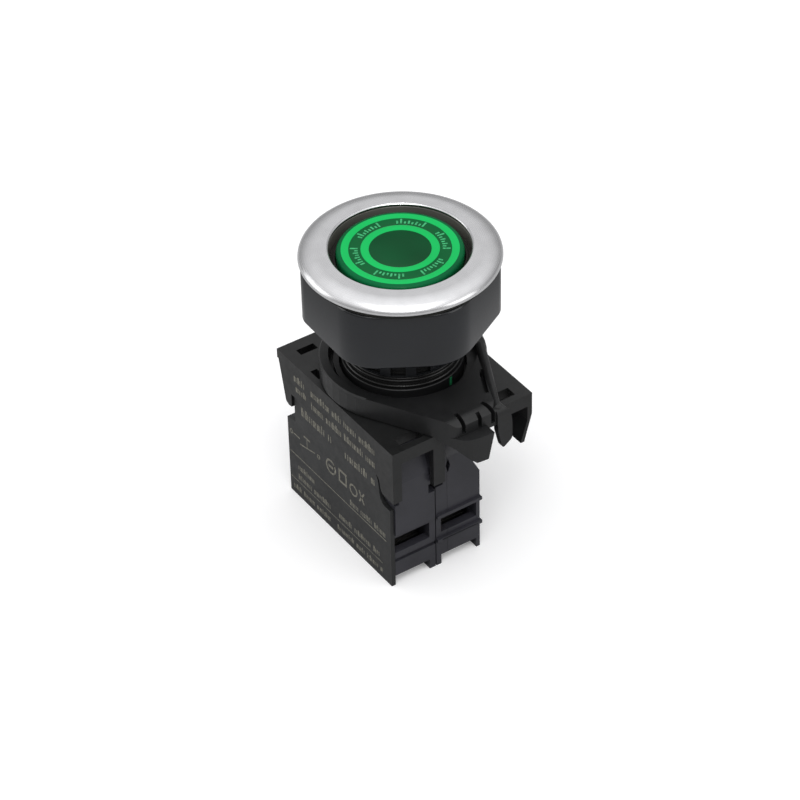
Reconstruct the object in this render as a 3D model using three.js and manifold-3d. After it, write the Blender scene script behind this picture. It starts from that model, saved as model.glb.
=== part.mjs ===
// Illuminated industrial push button: a round head with a metal bezel, a clamp nut behind the
// panel, a base plate with a bayonet lock ring, one contact block and one lamp block. The third
// place on the base plate is free. Millimetres, +Z towards the lens. The origin is on the button's
// axis, in the plane where the bezel meets the panel. X runs along the blocks, Y across them.
import * as THREE from 'three';
import { mergeVertices } from 'three/addons/utils/BufferGeometryUtils.js';
import Module from 'manifold-3d';

const wasm = await Module();
wasm.setup();

// ---------------------------------------------------------------- driving dimensions
const CLEARANCE = 0.3;            // between neighbouring pieces
const ROUND = 48;                 // sides of a large circle
const SMALL_ROUND = 20;           // sides of a small circle
const EPS = 0.5;                  // how far a cutter runs past the piece it cuts

// Head
const BEZEL_RADIUS = 18.3;
const BEZEL_BELLY_Z = 1.0;        // height of the largest radius above the panel
const BEZEL_FACE_Z = 2.25;        // height of the flat front
const BEZEL_FACE_RADIUS = 15.7;   // the flat front ends here
const BEZEL_FOOT_RADIUS = 17.7;   // the underside ends here
const OPENING_RADIUS = 12.85;
const OPENING_CHAMFER = 0.3;
const LIP_THICKNESS = 0.45;       // of the bezel's rim over the bushing's collar
const COLLAR_RADIUS = 13.3;       // the bushing's collar lines the opening
const THREAD_RADIUS = 14.6;       // passes the panel hole
const BORE_RADIUS = 11.8;         // guides the lens
const SEAL_DEPTH = 1.2;
const NUT_FLATS = 32.2;            // across flats
const NUT_CORNER = 8.5;           // rounding of four of its corners
const NUT_GRIP_CORNER = 4.4;      // rounding of the two opposite corners that stand proud
const NUT_TURN = -1.5;            // how far the tightened nut has turned, in degrees
const NUT_TOP_Z = -1.3;
const NUT_BOTTOM_Z = -12.9;
const SKIRT_RADIUS = 10.4;        // the narrow part under the nut
const SKIRT_BORE = 9.3;
const SKIRT_WINDOWS = 14;
const BARREL_BOTTOM_Z = NUT_BOTTOM_Z + 0.2;
const SLEEVE_TOP_Z = -11.7;       // the sleeve's flange hangs on the barrel's floor
const SLEEVE_SEAT_Z = -12.2;
const SLEEVE_NECK_RADIUS = 9.7;   // under the windowed band
const BAND_BORE = 9.85;
const BAND_TOP_Z = -13.1;
const BAND_BOTTOM_Z = -19.5;
const WINDOW_TOP_Z = -13.9;
const WINDOW_BOTTOM_Z = -19.2;
const SPIGOT_RADIUS = 11.2;       // the foot inside the lock ring
const SPIGOT_TOP_Z = -21.7;
const SPIGOT_BOTTOM_Z = -25.2;
const SHELF_Z = -17.9;            // top of the sleeve's inner shelf, which carries the spring
const SHELF_THICKNESS = 1.2;
const LIGHT_HOLE_RADIUS = 4.6;

// Button
const TRAVEL = 3.5;
const LENS_RADIUS = 11.5;
const LENS_FACE_Z = 1.6;
const LENS_FACE_RADIUS = 10.9;
const LENS_SKIRT_Z = -5;
const HOLDER_RADIUS = 10.1;
const HOLDER_FLANGE_Z = -7.9;     // underside of the holder's flange
const PUSH_LEG_Y = 7.5;           // the two legs that push the contact blocks
const PUSH_LEG_HALF = new THREE.Vector2(1.7, 1.0);
const PUSH_LEG_TIP_Z = -25;

// Base plate and lock ring
const PLATE_TOP_Z = -26;
const PLATE_THICKNESS = 2;
const PLATE_HALF_X = 19;
const PLATE_HALF_Y = 15.3;
const PLATE_WALL = 1.0;
const PLATE_SKIRT_Z = -34;        // lower edge of the long side walls
const PLATE_LEG_Z = -37.5;        // lower end of the corner legs
const PLATE_RIM_Z = -28.8;        // lower edge of the end rims
const RING_RADIUS = 15.35;
const RING_LIP_RADIUS = 13.6;
const RING_BORE = 11.7;
const RING_TOP_Z = -21.5;
const RING_FLOOR_Z = -24;
const RING_BOTTOM_Z = PLATE_TOP_Z + CLEARANCE;
const LEVER_REACH = 23.4;         // outer face of the lever's finger
const GRIP_REACH = 25.4;
const GRIP_BACK = 19.7;           // the grip hangs clear of the base plate's edge

// Blocks
const BLOCK_PITCH = 10;
const BLOCK_HALF_Y = 4.9;
const BLOCK_HALF_X = 17.1;
const BLOCK_TOP_Z = PLATE_TOP_Z - PLATE_THICKNESS - CLEARANCE;
const BLOCK_BOTTOM_Z = -58.8;
const BLOCK_NECK_X = -14.35;      // the -X end is set back where the base plate's legs hook on
const BLOCK_SHOULDER_Z = -41;
const BLOCK_WALL = 1.1;
const PANEL_X = 17.5;             // face of the contact block's raised front panel
const CONTACT_Y = -BLOCK_PITCH;   // centre line of the contact block
const LAMP_Y = 0;                 // centre line of the lamp block
const LAMP_SEAM_Y = -2.35;        // between the lamp block's two shells
const SCREW_X = 11.5;             // terminal screws, both ends
const SCREW_HEAD_RADIUS = 2.6;
const SCREW_SHANK_RADIUS = 1.5;
const WIRE_TOP_Z = -47.5;
const WIRE_BOTTOM_Z = -51.1;

// ---------------------------------------------------------------- solids
// A closed geometry as a manifold solid, turned the right way out.
function solid(geometry) {
  const bare = geometry.index ? geometry.toNonIndexed() : geometry.clone();
  bare.deleteAttribute('normal');
  bare.deleteAttribute('uv');
  const merged = mergeVertices(bare, 1e-4);
  const points = merged.attributes.position;
  const corners = merged.index.array;
  const faces = [];
  let volume = 0;
  const a = new THREE.Vector3();
  const b = new THREE.Vector3();
  const c = new THREE.Vector3();
  for (let i = 0; i < corners.length; i += 3) {
    const [p, q, r] = corners.slice(i, i + 3);
    if (p === q || q === r || r === p) continue;
    faces.push([p, q, r]);
    a.fromBufferAttribute(points, p);
    b.fromBufferAttribute(points, q);
    c.fromBufferAttribute(points, r);
    volume += a.dot(b.cross(c));
  }
  const order = volume > 0 ? faces : faces.map(([p, q, r]) => [p, r, q]);
  const triVerts = new Uint32Array(order.flat());
  const vertProperties = new Float32Array(points.array);
  return new wasm.Manifold(new wasm.Mesh({ numProp: 3, vertProperties, triVerts }));
}

function join(first, ...others) {
  return others.reduce((sum, other) => sum.add(other), first);
}

function cut(body, ...cutters) {
  return cutters.reduce((rest, cutter) => rest.subtract(cutter), body);
}

function box(x0, x1, y0, y1, z0, z1) {
  const geometry = new THREE.BoxGeometry(x1 - x0, y1 - y0, z1 - z0);
  geometry.translate((x0 + x1) / 2, (y0 + y1) / 2, (z0 + z1) / 2);
  return solid(geometry);
}

// A solid of revolution about Z. The profile is a list of [radius, z], closed on itself.
function turned(profile, sides = ROUND) {
  const points = [...profile, profile[0]].map(([radius, z]) => new THREE.Vector2(radius, z));
  return solid(new THREE.LatheGeometry(points, sides).rotateX(Math.PI / 2));
}

function tube(outer, inner, z0, z1, sides = ROUND) {
  return turned([[inner, z0], [outer, z0], [outer, z1], [inner, z1]], sides);
}

function rod(radius, x, y, z0, z1, sides = SMALL_ROUND) {
  const geometry = new THREE.CylinderGeometry(radius, radius, z1 - z0, sides);
  geometry.rotateX(Math.PI / 2);
  geometry.translate(x, y, (z0 + z1) / 2);
  return solid(geometry);
}

// An outline in X and Y, raised from z0 to z1.
function raised(shape, z0, z1, curveSegments = 8) {
  const geometry = new THREE.ExtrudeGeometry(shape, { depth: z1 - z0, bevelEnabled: false, curveSegments });
  return solid(geometry.translate(0, 0, z0));
}

// An outline in X and Z, drawn through the part from y0 to y1.
function drawnAlongY(shape, y0, y1, curveSegments = 8) {
  const geometry = new THREE.ExtrudeGeometry(shape, { depth: y1 - y0, bevelEnabled: false, curveSegments });
  return solid(geometry.rotateX(Math.PI / 2).translate(0, y1, 0));
}

// An outline in Y and Z, drawn from x0 to x1.
function drawnAlongX(shape, x0, x1, curveSegments = 8) {
  const geometry = new THREE.ExtrudeGeometry(shape, { depth: x1 - x0, bevelEnabled: false, curveSegments });
  const turn = new THREE.Matrix4().set(0, 0, 1, x0, 1, 0, 0, 0, 0, 1, 0, 0, 0, 0, 0, 1);
  return solid(geometry.applyMatrix4(turn));
}

function outline(...points) {
  return new THREE.Shape(points.map(([u, v]) => new THREE.Vector2(u, v)));
}

function arcPoints(centre, radii, from, to, steps) {
  return Array.from({ length: steps + 1 }, (_, i) => {
    const angle = THREE.MathUtils.degToRad(from + ((to - from) * i) / steps);
    return [centre[0] + radii[0] * Math.cos(angle), centre[1] + radii[1] * Math.sin(angle)];
  });
}

function about(body, degrees) {
  return body.rotate([0, 0, degrees]);
}

// A coil spring about a line parallel to Z, as a round wire on a helix.
function coil(x, y, meanRadius, wireRadius, z0, z1, turns) {
  class Helix extends THREE.Curve {
    getPoint(t, target = new THREE.Vector3()) {
      const angle = turns * 2 * Math.PI * t;
      const z = z0 + (z1 - z0) * t;
      return target.set(x + meanRadius * Math.cos(angle), y + meanRadius * Math.sin(angle), z);
    }
  }
  const wire = new THREE.Shape().absarc(0, 0, wireRadius, 0, 2 * Math.PI);
  const extrudePath = new Helix();
  const steps = turns * 12;
  return solid(new THREE.ExtrudeGeometry(wire, { extrudePath, steps, curveSegments: 3 }));
}

// ---------------------------------------------------------------- materials
function material(color, roughness, metalness = 0) {
  return new THREE.MeshStandardMaterial({ color, roughness, metalness });
}

const SATIN_METAL = material(0xc9c9cb, 0.3, 1);
const NUT_GREY = material(0x3c4044, 0.45, 0.2);
const BLACK_PLASTIC = material(0x2a2a2c, 0.5);
const GLOSS_BLACK = material(0x1c1c1e, 0.25);
const BLACK_RUBBER = material(0x1f1f1d, 0.8);
const GREEN_LENS = material(0x1f9a55, 0.15);
const WHITE_PLASTIC = material(0xe4e6e2, 0.5);
const GREEN_PAINT = material(0x2fbf72, 0.5);
const BRASS = material(0xb9985a, 0.35, 1);
const STEEL = material(0xaeb0b2, 0.35, 1);
const BOARD_GREEN = material(0x2f6b45, 0.6);
const LAMP_CLEAR = material(0xd8e8d8, 0.1);
const RESISTOR_BEIGE = material(0xc8a878, 0.6);

const button = new THREE.Group();

function place(name, body, finish) {
  const mesh = body.getMesh();
  const geometry = new THREE.BufferGeometry();
  geometry.setAttribute('position', new THREE.BufferAttribute(mesh.vertProperties, 3));
  geometry.setIndex(new THREE.BufferAttribute(mesh.triVerts, 1));
  geometry.computeVertexNormals();
  const piece = new THREE.Mesh(geometry, finish);
  piece.name = name;
  button.add(piece);
}

// ---------------------------------------------------------------- head
function bezelRing() {
  const dome = arcPoints([BEZEL_FACE_RADIUS, BEZEL_BELLY_Z],
    [BEZEL_RADIUS - BEZEL_FACE_RADIUS, BEZEL_FACE_Z - BEZEL_BELLY_Z], 90, 0, 6);
  const belly = arcPoints([BEZEL_FOOT_RADIUS, BEZEL_BELLY_Z],
    [BEZEL_RADIUS - BEZEL_FOOT_RADIUS, BEZEL_BELLY_Z], -30, -90, 2);
  const lip = [
    [COLLAR_RADIUS + CLEARANCE, 0],
    [COLLAR_RADIUS + CLEARANCE, BEZEL_FACE_Z - LIP_THICKNESS],
    [OPENING_RADIUS, BEZEL_FACE_Z - LIP_THICKNESS],
    [OPENING_RADIUS, BEZEL_FACE_Z - OPENING_CHAMFER],
    [OPENING_RADIUS + OPENING_CHAMFER, BEZEL_FACE_Z],
  ];
  return turned([...lip, ...dome, ...belly]);
}

function wiperSeal() {
  return tube(OPENING_RADIUS - CLEARANCE, LENS_RADIUS + CLEARANCE, -SEAL_DEPTH, 0);
}

function panelGasket() {
  return tube(BEZEL_FOOT_RADIUS - 0.5, THREAD_RADIUS + CLEARANCE, NUT_TOP_Z + 0.2, -0.1);
}

// The bushing: a collar in the bezel's opening and a barrel that takes the nut.
function headBushing() {
  const barrelTop = -0.1;
  const collarTop = BEZEL_FACE_Z - LIP_THICKNESS - CLEARANCE;
  const seat = -SEAL_DEPTH - 0.2;
  return turned([
    [OPENING_RADIUS, collarTop],
    [COLLAR_RADIUS, collarTop],
    [COLLAR_RADIUS, barrelTop],
    [THREAD_RADIUS, barrelTop],
    [THREAD_RADIUS, BARREL_BOTTOM_Z],
    [SKIRT_RADIUS + CLEARANCE, BARREL_BOTTOM_Z],
    [SKIRT_RADIUS + CLEARANCE, SLEEVE_SEAT_Z],
    [BORE_RADIUS, SLEEVE_SEAT_Z],
    [BORE_RADIUS, seat],
    [OPENING_RADIUS, seat],
  ]);
}

// The sleeve hangs by its flange in the barrel. Its inner shelf carries the return spring.
function skirtSleeve() {
  const bead = (z, radius) => [
    [SKIRT_RADIUS, z + 0.3],
    [radius, z + 0.15],
    [radius, z - 0.25],
    [SKIRT_RADIUS, z - 0.4],
  ];
  const shelfBottom = SHELF_Z - SHELF_THICKNESS;
  const body = turned([
    [SKIRT_BORE, SLEEVE_TOP_Z],
    [BORE_RADIUS - CLEARANCE, SLEEVE_TOP_Z],
    [BORE_RADIUS - CLEARANCE, SLEEVE_SEAT_Z],
    [SKIRT_RADIUS, SLEEVE_SEAT_Z],
    [SKIRT_RADIUS, BAND_TOP_Z + CLEARANCE],
    [SLEEVE_NECK_RADIUS, BAND_TOP_Z + CLEARANCE],
    [SLEEVE_NECK_RADIUS, BAND_BOTTOM_Z - CLEARANCE],
    [SKIRT_RADIUS, BAND_BOTTOM_Z - CLEARANCE],
    ...bead(-20.1, SKIRT_RADIUS + 0.35),
    ...bead(-21.2, SKIRT_RADIUS + 0.5).slice(0, 3),
    [SKIRT_RADIUS, SPIGOT_TOP_Z],
    [SKIRT_BORE, SPIGOT_TOP_Z],
    [SKIRT_BORE, shelfBottom],
    [LIGHT_HOLE_RADIUS, shelfBottom],
    [LIGHT_HOLE_RADIUS, SHELF_Z],
    [SKIRT_BORE, SHELF_Z],
  ]);
  const legSlots = [-1, 1].map((side) => {
    const y = side * PUSH_LEG_Y;
    const halfX = PUSH_LEG_HALF.x + CLEARANCE;
    const halfY = PUSH_LEG_HALF.y + CLEARANCE;
    return box(-halfX, halfX, y - halfY, y + halfY, shelfBottom - EPS, SHELF_Z + EPS);
  });
  return cut(body, ...legSlots);
}

// The grey band round the sleeve's neck, with a ring of windows.
function windowBand() {
  const halfWindow = 1.35;
  const windows = Array.from({ length: SKIRT_WINDOWS }, (_, i) => about(
    box(SLEEVE_NECK_RADIUS - EPS, SKIRT_RADIUS + EPS, -halfWindow, halfWindow, WINDOW_BOTTOM_Z, WINDOW_TOP_Z),
    (360 / SKIRT_WINDOWS) * (i + 0.5)));
  return cut(tube(SKIRT_RADIUS, BAND_BORE, BAND_BOTTOM_Z, BAND_TOP_Z), ...windows);
}

// The foot that the lock ring grips.
function bayonetSpigot() {
  return tube(SPIGOT_RADIUS, SKIRT_BORE, SPIGOT_BOTTOM_Z, SPIGOT_TOP_Z);
}

// A painted stroke on the spigot that shows which way round the blocks go.
function indexMark() {
  const stroke = box(SPIGOT_RADIUS + 0.05, SPIGOT_RADIUS + 0.35, -0.38, 0.38, -23.8, -22.1);
  return about(stroke, 16);
}

function roundedHexagon(acrossFlats, mostCorners, gripCorners) {
  const shape = new THREE.Shape();
  for (let side = 0; side < 6; side += 1) {
    const heading = (side * Math.PI) / 3;
    const corner = side % 3 === 1 ? gripCorners : mostCorners;
    const reach = (acrossFlats / 2 - corner) / Math.cos(Math.PI / 6);
    const x = reach * Math.cos(heading);
    const y = reach * Math.sin(heading);
    shape.absarc(x, y, corner, heading - Math.PI / 6, heading + Math.PI / 6);
  }
  return shape;
}

function clampNut() {
  const blank = raised(roundedHexagon(NUT_FLATS, NUT_CORNER, NUT_GRIP_CORNER), NUT_BOTTOM_Z, NUT_TOP_Z);
  const hole = rod(THREAD_RADIUS + CLEARANCE, 0, 0, NUT_BOTTOM_Z - EPS, NUT_TOP_Z + EPS, ROUND);
  return about(cut(blank, hole), NUT_TURN);
}

// ---------------------------------------------------------------- button
function buttonLens() {
  const ceiling = LENS_FACE_Z - 1.3;
  const rounding = LENS_RADIUS - LENS_FACE_RADIUS;
  const shoulder = arcPoints([LENS_FACE_RADIUS, LENS_FACE_Z - rounding], [rounding, rounding], 0, 90, 3);
  return turned([
    [0, ceiling],
    [HOLDER_RADIUS + CLEARANCE, ceiling],
    [HOLDER_RADIUS + CLEARANCE, LENS_SKIRT_Z],
    [LENS_RADIUS, LENS_SKIRT_Z],
    ...shoulder,
    [0, LENS_FACE_Z],
  ]);
}

function legendDisc() {
  return rod(HOLDER_RADIUS, 0, 0, -0.6, 0.1, ROUND);
}

function lensHolder() {
  const flangeTop = HOLDER_FLANGE_Z + 1.2;
  const sleeve = turned([
    [HOLDER_RADIUS, -0.9],
    [HOLDER_RADIUS - 1.2, -0.9],
    [HOLDER_RADIUS - 1.2, flangeTop],
    [LIGHT_HOLE_RADIUS, flangeTop],
    [LIGHT_HOLE_RADIUS, HOLDER_FLANGE_Z],
    [LENS_RADIUS - 0.2, HOLDER_FLANGE_Z],
    [LENS_RADIUS - 0.2, flangeTop],
    [HOLDER_RADIUS, flangeTop],
  ]);
  const legs = [-1, 1].map((side) => {
    const y = side * PUSH_LEG_Y;
    const { x: halfX, y: halfY } = PUSH_LEG_HALF;
    return box(-halfX, halfX, y - halfY, y + halfY, PUSH_LEG_TIP_Z, HOLDER_FLANGE_Z + EPS);
  });
  return join(sleeve, ...legs);
}

function returnSpring() {
  const wire = 0.3;
  return coil(0, 0, 5.4, wire, SHELF_Z + wire + 0.1, HOLDER_FLANGE_Z - wire - 0.1, 5);
}

// ---------------------------------------------------------------- base plate and lock ring
// One long side wall, seen along Y: a skirt with a leg at each end. The -X leg leans inwards.
function plateSideWall() {
  const shape = new THREE.Shape();
  shape.moveTo(-PLATE_HALF_X, PLATE_TOP_Z);
  shape.lineTo(-16.6, PLATE_LEG_Z + 0.8);
  shape.lineTo(-15.6, PLATE_LEG_Z + 0.3);
  shape.lineTo(BLOCK_NECK_X - CLEARANCE, PLATE_LEG_Z + 0.5);
  shape.lineTo(BLOCK_NECK_X - CLEARANCE, PLATE_SKIRT_Z);
  shape.lineTo(12.6, PLATE_SKIRT_Z);
  shape.bezierCurveTo(14.2, PLATE_SKIRT_Z, 14.5, PLATE_SKIRT_Z - 0.5, 14.7, PLATE_SKIRT_Z - 1.8);
  shape.bezierCurveTo(14.9, PLATE_LEG_Z + 0.4, 15.3, PLATE_LEG_Z, 16.6, PLATE_LEG_Z);
  shape.lineTo(PLATE_HALF_X - 0.4, PLATE_LEG_Z);
  shape.lineTo(PLATE_HALF_X, PLATE_LEG_Z + 0.4);
  shape.lineTo(PLATE_HALF_X, PLATE_TOP_Z);
  return shape;
}

function basePlate() {
  const underside = PLATE_TOP_Z - PLATE_THICKNESS;
  const top = box(-PLATE_HALF_X, PLATE_HALF_X, -PLATE_HALF_Y, PLATE_HALF_Y, underside, PLATE_TOP_Z);
  const inner = PLATE_HALF_Y - PLATE_WALL;
  const legStart = 12.9;
  const labelWall = drawnAlongY(plateSideWall(), -PLATE_HALF_Y, -inner);
  const openWall = cut(drawnAlongY(plateSideWall(), inner, PLATE_HALF_Y),
    box(legStart, PLATE_HALF_X + EPS, inner - EPS, PLATE_HALF_Y + EPS, PLATE_LEG_Z - EPS, PLATE_RIM_Z));
  const frontInner = BLOCK_HALF_X + 0.7;
  const frontRim = box(frontInner, PLATE_HALF_X, -PLATE_HALF_Y, PLATE_HALF_Y, PLATE_RIM_Z, PLATE_TOP_Z - EPS);
  const frontLegs = [[-PLATE_HALF_Y, -13.4], [-6.5, -4.0]].map(([y0, y1]) => (
    box(frontInner, PLATE_HALF_X, y0, y1, PLATE_LEG_Z, PLATE_TOP_Z - EPS)));
  const leaningTip = PLATE_LEG_Z + 0.8;
  const lean = outline([inner, PLATE_TOP_Z - EPS], [PLATE_HALF_Y, PLATE_TOP_Z - EPS], [PLATE_HALF_Y, -30.8],
    [inner - 0.7, leaningTip], [inner - 1.5, leaningTip], [inner, -32]);
  const leaning = drawnAlongX(lean, legStart, PLATE_HALF_X);
  const leaningLeg = drawnAlongY(plateSideWall(), inner - 2, PLATE_HALF_Y).intersect(leaning);
  const hook = outline([-PLATE_HALF_X, PLATE_TOP_Z], [-16.6, PLATE_LEG_Z + 0.8], [-15.6, PLATE_LEG_Z + 0.3],
    [BLOCK_NECK_X - CLEARANCE, PLATE_LEG_Z + 0.5], [BLOCK_NECK_X - CLEARANCE, PLATE_TOP_Z]);
  const rearLegs = [[-PLATE_HALF_Y, -12.9], [-7.1, -2.9], [2.9, 7.1], [12.9, PLATE_HALF_Y]].map(([y0, y1]) => (
    drawnAlongY(hook, y0, y1)));
  const rearRim = outline([-PLATE_HALF_X, PLATE_TOP_Z], [-18.4, PLATE_RIM_Z],
    [BLOCK_NECK_X - CLEARANCE - 0.6, PLATE_RIM_Z], [BLOCK_NECK_X - CLEARANCE - 0.6, PLATE_TOP_Z]);
  const rim = drawnAlongY(rearRim, -PLATE_HALF_Y, PLATE_HALF_Y);
  const low = underside - 2;
  const high = PLATE_TOP_Z + EPS;
  const slots = [-1, 1].flatMap((side) => [
    box(15.3, 17.6, side * 10 - 2.5, side * 10 + 2.5, low, high),
    box(-16.4, -14.7, side * 10.85 - 1.85, side * 10.85 + 1.85, low, high),
  ]);
  const probeSlot = box(-9.6, -6.8, -14.0, -12.6, low, high);
  const leverRelief = box(18.1, PLATE_HALF_X + EPS, -3.4, 7.9, -30, high);
  const centreHole = rod(SKIRT_BORE, 0, 0, low, high, ROUND);
  return cut(join(top, labelWall, openWall, frontRim, ...frontLegs, leaningLeg, ...rearLegs, rim),
    ...slots, probeSlot, leverRelief, centreHole);
}

// The lever grows out of the ring towards +X and ends in a finger hook and a thumb grip.
function leverArm() {
  const plan = new THREE.Shape();
  const joinAngle = THREE.MathUtils.degToRad(-60);
  plan.moveTo(RING_RADIUS * Math.cos(joinAngle), RING_RADIUS * Math.sin(joinAngle));
  plan.lineTo(21.9, -5.08);
  plan.quadraticCurveTo(22.9, -4.5, 23.0, -3.4);
  plan.lineTo(23.0, 4.5);
  plan.lineTo(LEVER_REACH, 4.5);
  plan.lineTo(LEVER_REACH, 5.0);
  plan.lineTo(6.9, 13.5);
  plan.lineTo(8, 0);
  const slab = raised(plan, RING_BOTTOM_Z, RING_TOP_Z);
  return slab.intersect(leverSide(RING_TOP_Z, 2.4));
}

// The lever's outline from the side: flat on top, rounded over at the outer end.
function leverSide(top, roundOver) {
  const side = new THREE.Shape();
  side.moveTo(4, -32);
  side.lineTo(4, top);
  side.lineTo(LEVER_REACH - roundOver, top);
  side.absarc(LEVER_REACH - roundOver, top - roundOver, roundOver, Math.PI / 2, 0, true);
  side.lineTo(LEVER_REACH, -32);
  return drawnAlongY(side, -20, 20);
}

// The tapered rib that runs from the ring to the finger along the lever's far edge.
function leverRib() {
  const rib = new THREE.CylinderGeometry(0.75, 1.0, 17.8, SMALL_ROUND);
  rib.rotateZ(-Math.PI / 2 - THREE.MathUtils.degToRad(2));
  rib.rotateX(Math.PI / 2);
  const turn = new THREE.Matrix4().makeRotationZ(THREE.MathUtils.degToRad(-25.4));
  rib.applyMatrix4(turn).translate(14.9, 8.55, RING_TOP_Z - 0.45);
  const above = box(0, LEVER_REACH, 3, 20, RING_TOP_Z - 0.8, RING_TOP_Z + 2);
  return solid(rib).intersect(above).intersect(leverSide(RING_TOP_Z + 1, 3));
}

// The finger that hangs from the end of the rib and hooks over the base plate's edge.
function leverFinger() {
  const front = new THREE.Shape();
  front.moveTo(4.6, RING_TOP_Z);
  front.bezierCurveTo(6.6, RING_TOP_Z - 0.2, 7.7, RING_TOP_Z - 2.2, 7.75, -26.5);
  front.lineTo(7.75, -29.2);
  front.quadraticCurveTo(7.7, -30.0, 7.2, -30.3);
  front.lineTo(6.1, -31.1);
  front.quadraticCurveTo(5.7, -31.3, 5.5, -30.9);
  front.lineTo(4.6, -27.2);
  const reach = join(box(20.6, LEVER_REACH, 4, 8, -24.6, RING_TOP_Z), box(22.1, LEVER_REACH, 4, 8, -31.2, -24));
  return reach.intersect(drawnAlongX(front, 20, 24)).intersect(leverSide(RING_TOP_Z, 2.4));
}

// The thumb grip hangs in front of the base plate's edge and rises towards the ring.
function leverGrip() {
  const plan = new THREE.Shape();
  plan.moveTo(GRIP_BACK, -6.35);
  plan.lineTo(22.0, -5.02);
  plan.quadraticCurveTo(24.4, -3.6, 24.9, -2.0);
  plan.quadraticCurveTo(25.35, -0.2, GRIP_REACH, 2.4);
  plan.lineTo(GRIP_BACK, 2.4);
  const top = -24.8;
  const bottom = -30.4;
  const away = outline([2.4, top], [1.15, bottom], [1.1, bottom - EPS], [4, bottom - EPS], [4, top]);
  const under = outline([-7, -25.6], [-4.4, -27.2], [-2.4, -29.3], [-1.2, bottom], [-1.2, bottom - EPS],
    [-7, bottom - EPS]);
  const [taper, slope] = [away, under].map((shape) => drawnAlongX(shape, GRIP_BACK - EPS, GRIP_REACH + EPS));
  const paddle = cut(raised(plan, bottom, top), taper, slope);
  return join(paddle, leverFinger());
}

function lockRing() {
  const ring = turned([
    [RING_BORE, RING_BOTTOM_Z],
    [RING_RADIUS, RING_BOTTOM_Z],
    [RING_RADIUS, RING_TOP_Z - 0.25],
    [RING_RADIUS - 0.25, RING_TOP_Z],
    [RING_LIP_RADIUS, RING_TOP_Z],
    [RING_LIP_RADIUS, RING_FLOOR_Z],
    [RING_BORE, RING_FLOOR_Z],
  ]);
  const well = rod(RING_LIP_RADIUS, 0, 0, RING_FLOOR_Z, RING_TOP_Z + EPS, ROUND);
  const bore = rod(RING_BORE, 0, 0, RING_BOTTOM_Z - EPS, RING_TOP_Z + EPS, ROUND);
  const slotDepth = 1.6;
  const nearSlot = box(20.4, LEVER_REACH + EPS, -3.0, -2.2, -24.4, RING_TOP_Z + EPS);
  const farSlot = about(box(-1.9, 2.6, -0.4, 0.4, -24.9, RING_TOP_Z + EPS), 17).translate([22.3, 3.55, 0]);
  const notch = box(22.0, LEVER_REACH + EPS, 0.5, 1.3, -25.2, RING_TOP_Z + EPS);
  const groove = about(box(-3.4, 3.4, -0.4, 0.4, RING_TOP_Z - slotDepth, RING_TOP_Z + EPS), -26)
    .translate([15.7, 6.9, 0]);
  const arm = cut(join(leverArm(), leverRib()), well, bore, nearSlot, farSlot, notch, groove);
  const rampHeight = 1.1;
  const ramp = cut(tube(RING_LIP_RADIUS - 0.9, RING_BORE, RING_FLOOR_Z - EPS, RING_FLOOR_Z + rampHeight),
    box(-20, 20, -20, 20, RING_FLOOR_Z - 1, RING_FLOOR_Z + 2).translate([0, 12, 0]),
    about(box(0, 20, 0, 20, RING_FLOOR_Z - 1, RING_FLOOR_Z + 2), -45));
  return join(ring, arm, leverGrip(), ramp);
}

// ---------------------------------------------------------------- blocks
// The outline of a block's shell, seen along Y.
function blockOutline(frontX, slopeTop) {
  return outline(
    [-BLOCK_HALF_X, BLOCK_BOTTOM_Z],
    [BLOCK_HALF_X, BLOCK_BOTTOM_Z],
    [BLOCK_HALF_X, WIRE_TOP_Z + 0.5],
    [frontX, WIRE_TOP_Z + 0.7],
    [frontX, slopeTop],
    [15.2, slopeTop + 3],
    [15.2, BLOCK_TOP_Z],
    [BLOCK_NECK_X, BLOCK_TOP_Z],
    [BLOCK_NECK_X, BLOCK_SHOULDER_Z + 0.4],
    [-BLOCK_HALF_X, BLOCK_SHOULDER_Z],
  );
}

// Openings that both shells of a block share: wire entries, sill grooves and the foot recesses.
function blockOpenings(y0, y1, grooveEnd = y1) {
  return [-1, 1].flatMap((end) => {
    const span = (from, to, z0, z1, y = y1) => {
      const [x0, x1] = [end * from, end * to].sort((a, b) => a - b);
      return box(x0, x1, y0, y, z0, z1);
    };
    return [
      span(14, BLOCK_HALF_X + 1, WIRE_BOTTOM_Z, WIRE_TOP_Z),
      span(BLOCK_HALF_X - 0.4, BLOCK_HALF_X + 1, WIRE_BOTTOM_Z - 2.2, WIRE_BOTTOM_Z - 1.4, grooveEnd),
      span(14.7, BLOCK_HALF_X + 1, BLOCK_BOTTOM_Z - EPS, BLOCK_BOTTOM_Z + 2.2),
    ];
  });
}

// The space inside a block, between y0 and y1, down to its terminals.
function blockCavity(y0, y1) {
  const deck = -44.6;
  const pit = -55;
  const cavity = box(BLOCK_NECK_X + BLOCK_WALL, 15.2 - BLOCK_WALL, y0, y1, deck, BLOCK_TOP_Z - BLOCK_WALL);
  const pits = [-1, 1].map((end) => {
    const x0 = end * SCREW_X;
    return box(x0 - 4, x0 + 4, y0, y1, pit, deck + EPS);
  });
  return join(cavity, ...pits);
}

function screwHoles(y) {
  return [-1, 1].map((end) => rod(SCREW_HEAD_RADIUS + CLEARANCE, end * SCREW_X, y, BLOCK_BOTTOM_Z - EPS, -54));
}

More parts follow.
